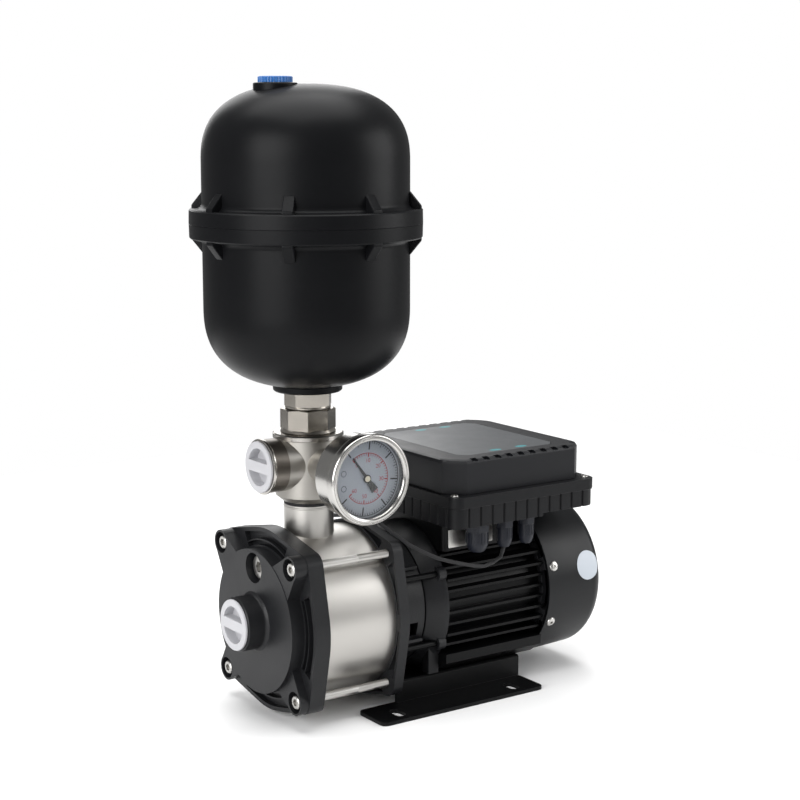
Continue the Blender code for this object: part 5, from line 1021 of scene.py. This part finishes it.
@dataclass
class Outlet:
    """The five-way fitting, the sensor and the seal ring under it."""
    port_z: float = 119.8
    low: float = 89.8
    top: float = 143.3
    body_r: float = 25.5
    collar_r: float = 27.3
    tube_r: float = 20.6
    outlet_end: float = -42.8
    sensor_reach: float = 34.0
    gauge_reach: float = 38.0

    def build(self) -> None:
        """Make the fitting and what screws into it."""
        self.fitting()
        self.sensor()
        SuctionEnd().plug("outlet_plug", "outlet_closure", self.outlet_end, self.port_z)
        refine("fitting_o_ring", "pump", RUBBER)
        refine("sensor_lead", "pump", RUBBER)

    def fitting(self) -> None:
        """Cast the body with its ports and bore it; the tube and the collar get their own polish."""
        at = (0, 0, self.port_z)
        body = lathe([(self.low, 0), (self.low, 20.1), (self.low + 1.2, 21.6), (self.low + 4.5, self.body_r),
                      (self.top - 0.4, self.body_r), (self.top - 0.4, 0)], Axis.Z, steps=128)
        shape = carve(
            body,
            ("UNION", bar(15.5, 8, self.sensor_reach, Axis.X, at, 64)),
            ("UNION", bar(14.0, 8, self.gauge_reach, Axis.FRONT, at, 64)),
            ("UNION", bar(self.tube_r + 0.02, -28.4, -2, Axis.X, at, 128)))
        joints = [edge for edge in shape.edges if edge.calc_face_angle(0.0) > radians(25)
                  and all(abs(v.co.xy.length - self.body_r) < 0.2 and v.co.z < self.top - 1.5 for v in edge.verts)]
        round_edges(shape, 1.5, 4, chosen=joints)
        cuts = [("DIFFERENCE", bar(17.0, self.low - 1, self.top + 1, Axis.Z, steps=96)),
                ("DIFFERENCE", bar(16.6, self.outlet_end - 1, 0, Axis.X, at, 96)),
                ("DIFFERENCE", bar(6.7, 6, self.sensor_reach + 1, Axis.X, at, 48)),
                ("DIFFERENCE", bar(6.7, 6, self.gauge_reach + 1, Axis.FRONT, at, 48)),
                ("DIFFERENCE", block((-60, -30, self.top), (30, 30, self.top + 6)))]
        dress(carve(shape, *cuts), "outlet_fitting_cast", "pump", FITTING_STEEL, ["outlet_fitting"], 30.0)
        end = self.outlet_end
        tube = lathe([(-28.5, 16.7), (end + 2.6, 16.7), (end + 2.6, self.tube_r), (-28.5, self.tube_r)],
                     Axis.X, at, 128)
        dress(tube, "outlet_tube", "pump", TUBE_STEEL)
        bead = lathe([(end, 16.7), (end, 20.7), (end + 0.3, 21.2), (end + 0.8, 21.4), (end + 1.9, 21.4),
                      (end + 2.4, 21.1), (end + 2.6, 20.5), (end + 2.6, 16.7)], Axis.X, at, 128)
        dress(bead, "outlet_bead", "pump", COLLAR_STEEL)
        low = self.top - 4.5
        collar = lathe([(low, self.body_r - 0.6), (low, self.collar_r - 0.5), (low + 0.5, self.collar_r),
                        (self.top - 1.0, self.collar_r), (self.top, self.collar_r - 1.0), (self.top, 17.0),
                        (self.top - 0.39, 17.0), (self.top - 0.39, self.body_r - 0.6)], Axis.Z, steps=128)
        dress(collar, "fitting_collar", "pump", COLLAR_STEEL)

    def sensor(self) -> None:
        """Turn the pressure sensor: thread, hexagon, barrel with grooves, and strain relief."""
        at = (0, 0, self.port_z)
        seat = self.sensor_reach + 0.3
        barrel = lathe([(seat - 9, 0), (seat - 9, 6.4), (seat + 8.5, 6.4), (seat + 8.5, 8.4), (seat + 9.3, 9.0),
                        (seat + 14, 9.0), (seat + 14.3, 8.6), (seat + 15, 8.6), (seat + 15.3, 9.0),
                        (seat + 24.4, 9.0), (seat + 25, 8.4), (seat + 25, 4.5), (seat + 30, 3.2), (seat + 30, 0)],
                       Axis.X, at, 64)
        nut = round_edges(bar(12.5, seat, seat + 9, Axis.X, at, 6), 0.5, 2, 50.0)
        shape = carve(barrel, ("UNION", nut))
        dress(shape, "pressure_sensor_turned", "pump", FITTING_STEEL, ["pressure_sensor"], 30.0)


@dataclass
class Gauge:
    """The pressure gauge: case, bezel, lens, printed dial and pointer."""
    port_z: float = 119.8
    front: float = 88.2
    bezel_r: float = 34.2
    case_r: float = 31.2
    dial_front: float = 80.0
    zero: float = 128.0
    step: float = 45.0

    def build(self) -> None:
        """Make every piece of the gauge."""
        self.case()
        self.dial()
        self.needle()

    def at(self) -> tuple[float, float, float]:
        """The centre of the gauge at the shaft's plane."""
        return (0, 0, self.port_z)

    def case(self) -> None:
        """Press the case, screw in its stem and roll the bezel over the lens."""
        at, front, r = self.at(), self.front, self.case_r
        rear = 57.5
        cup = lathe([(rear, 0), (rear, r - 3.0), (rear + 0.8, r - 1.0), (rear + 2.6, r), (84.0, r),
                     (84.0, r - 1.2), (rear + 8, r - 1.2), (rear + 8, 0)], Axis.FRONT, at, 128)
        stem = bar(6.4, 28.0, rear + 1, Axis.FRONT, at, 48)
        nut = round_edges(bar(9.5, 38.3, rear + 1, Axis.FRONT, at, 6), 0.5, 2, 50.0)
        shape = carve(cup, ("UNION", stem), ("UNION", nut))
        dress(shape, "gauge_case_pressed", "pump", POLISHED, ["gauge_case"], 30.0)
        b = self.bezel_r
        ring = lathe([(front - 1.7, 29.0), (front - 0.7, 29.5), (front, 30.6), (front, 31.6), (front - 0.35, 32.0),
                      (front - 0.35, 32.4), (front, 32.8), (front - 0.2, 33.3), (front - 0.9, 33.9),
                      (front - 1.9, b), (front - 6.3, b), (front - 6.5, b - 0.3), (front - 6.8, b - 0.3),
                      (front - 7.0, b), (front - 8.4, b), (front - 8.7, b - 0.4), (front - 8.7, r + 0.4),
                      (front - 1.7, r + 0.4)], Axis.FRONT, at, 160)
        dress(ring, "gauge_bezel_rolled", "pump", POLISHED, ["gauge_bezel"], 30.0)
        lens = lathe([(84.3, 0), (84.3, r), (86.2, r), (86.2, 0)], Axis.FRONT, at, 96)
        dress(lens, "gauge_lens_cut", "pump", LENS, ["gauge_lens"])

    def _stroke(self, angle: float, inner: float, outer: float, width: float) -> bmesh.types.BMesh:
        """A printed stroke across the dial's scale.

        Args:
            angle: Its angle, in degrees, anticlockwise from the right.
            inner: Its inner radius.
            outer: Its outer radius.
            width: Its width.

        Returns:
            The stroke, a hair above the dial.
        """
        shape = block((inner, self.dial_front, -width / 2), (outer, self.dial_front + 0.06, width / 2))
        shape.transform(Matrix.Translation(self.at()) @ Matrix.Diagonal((1, -1, 1, 1))
                        @ Matrix.Rotation(-radians(angle), 4, "Y"))
        bmesh.ops.recalc_face_normals(shape, faces=shape.faces[:])
        return shape

    def _band(self, inner: float, outer: float, start: float, end: float) -> bmesh.types.BMesh:
        """A printed arc of the scale, between two angles in degrees.

        Args:
            inner: Its inner radius.
            outer: Its outer radius.
            start: Its first angle.
            end: Its last angle.

        Returns:
            The arc.
        """
        middle, spread = radians((start + end) / 2), radians(abs(end - start) / 2)
        points = [(u, v + self.port_z) for u, v in sector(inner, outer, middle, spread, 72)]
        return slab(points, self.dial_front, self.dial_front + 0.06, Plane.FRONT)

    def _numeral(self, text: str, angle: float, radius: float, size: float) -> bmesh.types.BMesh:
        """A scale numeral that stands upright at a place on the dial.

        Args:
            text: The numeral.
            angle: Its angle, in degrees.
            radius: Its distance from the centre.
            size: Its height.

        Returns:
            The numeral as a thin plate.
        """
        curve = bpy.data.curves.new("numeral", "FONT")
        curve.body = text
        curve.size = size
        curve.align_x = "CENTER"
        curve.align_y = "CENTER"
        curve.extrude = 0.03
        curve.resolution_u = 4
        holder = bpy.data.objects.new("numeral", curve)
        bpy.context.scene.collection.objects.link(holder)
        bpy.context.view_layer.update()
        mesh = bpy.data.meshes.new_from_object(holder.evaluated_get(bpy.context.evaluated_depsgraph_get()))
        bpy.data.objects.remove(holder, do_unlink=True)
        shape = bmesh.new()
        shape.from_mesh(mesh)
        bpy.data.meshes.remove(mesh)
        u, v = radius * cos(radians(angle)), radius * sin(radians(angle))
        shape.transform(Matrix.Translation((u, -self.dial_front - 0.03, self.port_z + v))
                        @ Matrix.Rotation(pi / 2, 4, "X"))
        return tidy(shape)

    def dial(self) -> None:
        """Print the dial: black outer strokes, a red inner scale with plain numerals, and two rings."""
        face = lathe([(79.2, 1.2), (79.2, 29.7), (self.dial_front, 29.7), (self.dial_front, 1.2)], Axis.FRONT,
                     self.at(), 96)
        dress(face, "gauge_dial_plate", "pump", DIAL_FACE, ["gauge_dial"])
        black, red = [], []
        for i in range(61):
            angle = self.zero - self.step * 6 * i / 60
            major, half = i % 10 == 0, i % 5 == 0
            black.append(self._stroke(angle, 21.6 if major else 25.0 if half else 26.2, 28.0,
                                      1.1 if major else 0.5))
        for i in range(43):
            angle = self.zero - self.step * 6 * i / 42
            red.append(self._stroke(angle, 16.2 if i % 7 == 0 else 17.2, 19.0, 0.95 if i % 7 == 0 else 0.45))
        black.append(self._band(27.9, 28.4, self.zero - self.step * 6, self.zero))
        red.append(self._band(18.8, 19.3, self.zero - self.step * 6, self.zero))
        for i in range(7):
            red.append(self._numeral(str(i * 10), self.zero - self.step * i, 13.4, 4.3))
        for height in (-5.6, 5.6):
            black.append(lathe([(self.dial_front, 1.9), (self.dial_front, 2.3), (self.dial_front + 0.06, 2.3),
                                (self.dial_front + 0.06, 1.9)], Axis.FRONT,
                               (-19.6, 0, self.port_z + height), 32))
        dress(merged(black), "dial_print_black", "pump", PRINT_BLACK)
        dress(merged(red), "dial_print_red", "pump", PRINT_RED)

    def needle(self) -> None:
        """Cut the pointer with its counterweight and cap its arbor."""
        rest = radians(126.0)
        plate: Outline = [(-11.6, -3.1), (-3.0, -1.5), (0.0, -1.3), (20.5, -0.3), (20.5, 0.3),
                          (0.0, 1.3), (-3.0, 1.5), (-11.6, 3.1)]
        blade = slab([(u * cos(rest) - v * sin(rest), self.port_z + u * sin(rest) + v * cos(rest))
                      for u, v in plate], 81.0, 81.6, Plane.FRONT)
        hub = lathe([(66.0, 0), (66.0, 0.9), (81.0, 0.9), (81.0, 3.1), (81.9, 3.1), (82.2, 2.8), (82.2, 0)],
                    Axis.FRONT, self.at(), 48)
        shape = carve(blade, ("UNION", hub))
        dress(shape, "gauge_needle_cut", "pointer", PRINT_BLACK, ["gauge_needle"])
        cap = lathe([(82.18, 0), (82.18, 2.3), (82.38, 2.1), (82.4, 0)], Axis.FRONT, self.at(), 48)
        dress(cap, "needle_cap", "pointer", HUB_CREAM)


@dataclass
class Union:
    """The two eight-sided nuts between the fitting and the tank."""
    sides: int = 8
    bore_r: float = 10.0

    def build(self) -> None:
        """Make both nuts."""
        self.nut("union_nut", 21.3, 145.2, 161.6, radians(-121.7), [(129.0, 10.0), (129.0, 16.6), (143.6, 16.6),
                 (143.6, 21.0), (144.0, 21.5), (145.4, 20.6), (146.2, 20.0), (146.2, 10.0)])
        self.nut("tank_adapter", 18.6, 163.4, 174.7, radians(-107.2), [(161.9, 10.0), (161.9, 17.3), (162.2, 17.6),
                 (163.3, 17.6), (164.4, 17.0), (164.4, 14.5), (185.0, 14.5), (185.0, 10.0)])

    def nut(self, node: str, radius: float, low: float, high: float, corner: float, tail: Outline) -> None:
        """Mill one nut: an eight-sided bar, its corners turned off, with a turned tail and a bore.

        Args:
            node: The CAD node that it stands for.
            radius: The radius to its corners.
            low: Its lower face.
            high: Its upper face.
            corner: The angle of one corner, about the tank's axis.
            tail: The profile of its tail.
        """
        cut = radius * (1 - cos(pi / self.sides)) * 1.15
        blank = lathe([(low, 0), (low, radius - cut), (low + cut * 0.55, radius + 0.3),
                       (high - cut * 0.55, radius + 0.3), (high, radius - cut), (high, 0)], Axis.Z, steps=160)
        body = bar(radius, low, high, Axis.Z, steps=self.sides, turn=corner - pi / 2)
        shape = carve(body, ("INTERSECT", blank), ("UNION", lathe(tail, Axis.Z)),
                      ("DIFFERENCE", bar(self.bore_r, low - 30, high + 30, Axis.Z, steps=64)))
        dress(shape, node + "_milled", "pump", NICKEL, [node], 20.0)


@dataclass
class Tank:
    """The moulded pressure tank with its band, gussets and valve cap."""
    bottom: float = 175.0
    top: float = 406.1
    neck_r: float = 26.5
    neck: float = 4.5
    body_r: float = 78.4
    lower_dome: float = 62.0
    upper_dome: float = 57.4
    wall: float = 3.5
    band_r: float = 88.2
    band_low: float = 291.8
    band_high: float = 313.9
    split: float = 302.8
    cap_x: float = -25.8
    rib_turn: float = radians(4.5)

    def build(self) -> None:
        """Mould both halves and the cap."""
        self.lower()
        self.upper()
        self.cap()
        refine("air_valve", "pump", BOLT_STEEL)

    def fillet(self, edge: float, direction: float) -> Outline:
        """The concave curve from the band's edge down or up to the body.

        Args:
            edge: The band's edge height.
            direction: 1 to go up, -1 to go down.

        Returns:
            The (height, radius) points, from the band to the body.
        """
        size = 4.5
        return [(edge + direction * size * (1 - cos(a)), self.body_r + size * (1 - sin(a)) + 0.02)
                for a in [pi / 2 * i / 6 for i in range(7)]]

    def gussets(self, low: float, high: float) -> bmesh.types.BMesh:
        """The eight ribs that stiffen one side of the band.

        Args:
            low: The height of the ribs' root in the band.
            high: The height of their tips.

        Returns:
            The ribs, merged.
        """
        made = []
        for number in range(8):
            wedge: Outline = [(self.body_r - 3, low), (self.band_r - 1.0, low),
                              (self.band_r - 1.0, low + (high - low) * 0.22), (self.body_r, high),
                              (self.body_r - 3, high)]
            rib = slab(wedge, -4.2, 4.2, Plane.FRONT)
            rib = round_edges(rib, 0.8, 2, 20.0)
            rib.transform(Matrix.Rotation(number * pi / 4 + self.rib_turn, 4, "Z"))
            made.append(rib)
        return merged(made)

    def lower(self) -> None:
        """Mould the lower half, from the neck to the joint in the band."""
        centre = self.bottom + self.neck + self.lower_dome - 1.0
        neck_top = self.bottom + self.neck
        outside = [p for p in superellipse(centre, -self.lower_dome, self.body_r, 48) if p[1] > self.neck_r + 2.0]
        inner = [p for p in superellipse(centre, -(self.lower_dome - self.wall), self.body_r - self.wall, 24)
                 if p[1] > self.neck_r]
        inner.append((neck_top + self.wall, self.neck_r - 2))
        seam = self.split - 0.06
        profile = ([(seam, self.body_r - self.wall), (seam, self.band_r - 0.2), (seam - 0.15, self.band_r - 0.05),
                    (self.band_low + 1.0, self.band_r - 0.3), (self.band_low, self.band_r - 1.2)]
                   + [(self.band_low, self.body_r + 5.0)] + self.fillet(self.band_low, -1.0) + outside
                   + [(neck_top + 0.6, self.neck_r + 1.4), (neck_top, self.neck_r + 0.3),
                      (self.bottom + 1.0, self.neck_r), (self.bottom, self.neck_r - 1.0), (self.bottom, 14.8),
                      (neck_top + self.wall + 8, 14.8), (neck_top + self.wall + 8, 17.8),
                      (neck_top + self.wall, 17.8)] + inner[::-1])
        shape = merged([lathe(profile, Axis.Z, steps=160), self.gussets(self.band_low + 1, self.band_low - 13)])
        dress(shape, "tank_lower_moulded", "pump", TANK_PLASTIC, ["tank_lower_shell"], 40.0)

    def upper(self) -> None:
        """Mould the upper half with the collar under the cap."""
        centre = self.top - self.upper_dome
        outside = superellipse(centre, self.upper_dome, self.body_r, 48)
        inside = superellipse(centre, self.upper_dome - self.wall, self.body_r - self.wall, 24)
        outside[-1] = (self.top, 0.0)
        inside[-1] = (self.top - self.wall, 0.0)
        seam = self.split + 0.06
        profile = ([(seam, self.body_r - self.wall), (seam, self.band_r - 0.15), (seam + 0.15, self.band_r),
                    (self.band_high - 1.0, self.band_r - 0.2), (self.band_high, self.band_r - 1.2)]
                   + [(self.band_high, self.body_r + 5.0)] + self.fillet(self.band_high, 1.0) + outside
                   + inside[::-1])
        dome = lathe(profile, Axis.Z, steps=160)
        collar = lathe([(388.0, 4.1), (388.0, 16.5), (406.0, 16.5), (406.6, 15.9), (406.6, 4.1)], Axis.Z,
                       (self.cap_x, 0, 0), 64)
        shape = merged([dome, collar, self.gussets(self.band_high - 1, self.band_high + 13)])
        dress(shape, "tank_upper_moulded", "pump", TANK_PLASTIC, ["tank_upper_shell"], 40.0)

    def cap(self) -> None:
        """Mould the ribbed valve cap."""
        low, high = 406.9, 411.4
        ribs: Outline = []
        for i in range(36):
            for share, radius in ((0.0, 12.45), (0.30, 12.95), (0.70, 12.95)):
                angle = 2 * pi * (i + share) / 36
                ribs.append((radius * cos(angle), radius * sin(angle)))
        skirt = slab(ribs, low, high - 0.6, Plane.LEVEL)
        crown = lathe([(high - 0.7, 0), (high - 0.7, 12.6), (high - 0.3, 12.3), (high - 0.05, 11.6),
                       (high - 0.05, 9.6), (high - 0.35, 9.3), (high - 0.35, 0)], Axis.Z, steps=72)
        shape = carve(skirt, ("UNION", crown), ("DIFFERENCE", bar(11.4, low - 1, high - 1.6, Axis.Z, steps=48)))
        bmesh.ops.translate(shape, vec=(self.cap_x, 0, 0), verts=shape.verts[:])
        dress(shape, "air_cap_moulded", "valve_cover", CAP_BLUE, ["air_cap"], 25.0)


@dataclass
class Inside:
    """The pieces that the housings hide; they keep their CAD shapes."""

    def build(self) -> None:
        """Give each hidden piece its finish."""
        paint(SLEEVE_STEEL, "stage_bowl_1", "stage_bowl_2", "stage_bowl_3", "impeller_1", "impeller_2",
              "impeller_3")
        paint(BOLT_STEEL, "impeller_nut", "shaft", "front_bearing", "rear_bearing")
        paint(LAMINATION, "rotor_core")
        paint(COPPER, "stator")
        paint(CARBON, "seal_head", "seal_seat")
        paint(RUBBER, "sleeve_seal_front", "sleeve_seal_rear", "tank_membrane")


@dataclass
class Studio:
    """The camera at the photograph's view, soft lights and a pale floor."""
    eye: tuple[float, float, float] = (-0.7788, -1.1333, 0.4652)
    target: tuple[float, float, float] = (0.0061, 0.0, 0.23395)
    lens: float = 79.1
    room: float = 0.24

    def camera(self) -> None:
        """Set up the camera."""
        data = bpy.data.cameras.new("camera")
        data.lens = self.lens
        data.sensor_width = 36.0
        item = bpy.data.objects.new("camera", data)
        item.location = self.eye
        look = Vector(self.target) - Vector(self.eye)
        item.rotation_euler = look.to_track_quat("-Z", "Y").to_euler()
        bpy.context.scene.collection.objects.link(item)
        bpy.context.scene.camera = item

    def lights(self) -> None:
        """Hang the soft boxes in a dim room whose far wall is white to the camera."""
        world = bpy.data.worlds.new("studio")
        world.use_nodes = True
        nodes, links = world.node_tree.nodes, world.node_tree.links
        nodes["Background"].inputs["Color"].default_value = (1.0, 1.0, 1.0, 1.0)
        sight = nodes.new("ShaderNodeLightPath")
        strength = nodes.new("ShaderNodeMapRange")
        strength.inputs["To Min"].default_value = self.room
        strength.inputs["To Max"].default_value = 1.0
        links.new(sight.outputs["Is Camera Ray"], strength.inputs["Value"])
        links.new(strength.outputs["Result"], nodes["Background"].inputs["Strength"])
        bpy.context.scene.world = world
        bpy.context.scene.view_settings.view_transform = "Standard"
        for name, place, size, power in (("left_box", (-1.5, -0.5, 0.7), 1.1, 24.0),
                                         ("right_box", (1.3, -0.9, 0.7), 1.0, 16.0),
                                         ("top_box", (0.0, 0.1, 1.7), 1.6, 34.0),
                                         ("back_box", (0.5, 1.4, 0.9), 1.0, 8.0)):
            data = bpy.data.lights.new(name, "AREA")
            data.shape = "SQUARE"
            data.size = size
            data.energy = power
            item = bpy.data.objects.new(name, data)
            item.location = place
            aim = Vector((0.0, 0.0, 0.22)) - Vector(place)
            item.rotation_euler = aim.to_track_quat("-Z", "Y").to_euler()
            bpy.context.scene.collection.objects.link(item)

    def floor(self) -> None:
        """Lay the pale floor."""
        shape = bmesh.new()
        bmesh.ops.create_grid(shape, x_segments=2, y_segments=2, size=0.95)
        mesh = bpy.data.meshes.new("floor")
        shape.to_mesh(mesh)
        shape.free()
        mesh.materials.append(FLOOR.build())
        item = bpy.data.objects.new("floor", mesh)
        bpy.context.scene.collection.objects.link(item)


def main() -> None:
    """Build the studio and every sub-assembly, logging each piece's face count."""
    logging.basicConfig(level=logging.INFO, format="%(message)s")
    studio = Studio()
    studio.camera()
    studio.lights()
    studio.floor()
    for assembly in (SuctionEnd(), Sleeve(), Bracket(), Motor(), Drive(), Outlet(), Gauge(), Union(), Tank(),
                     Inside()):
        LOG.info("-- %s", type(assembly).__name__)
        assembly.build()


if __name__ == "__main__":
    main()
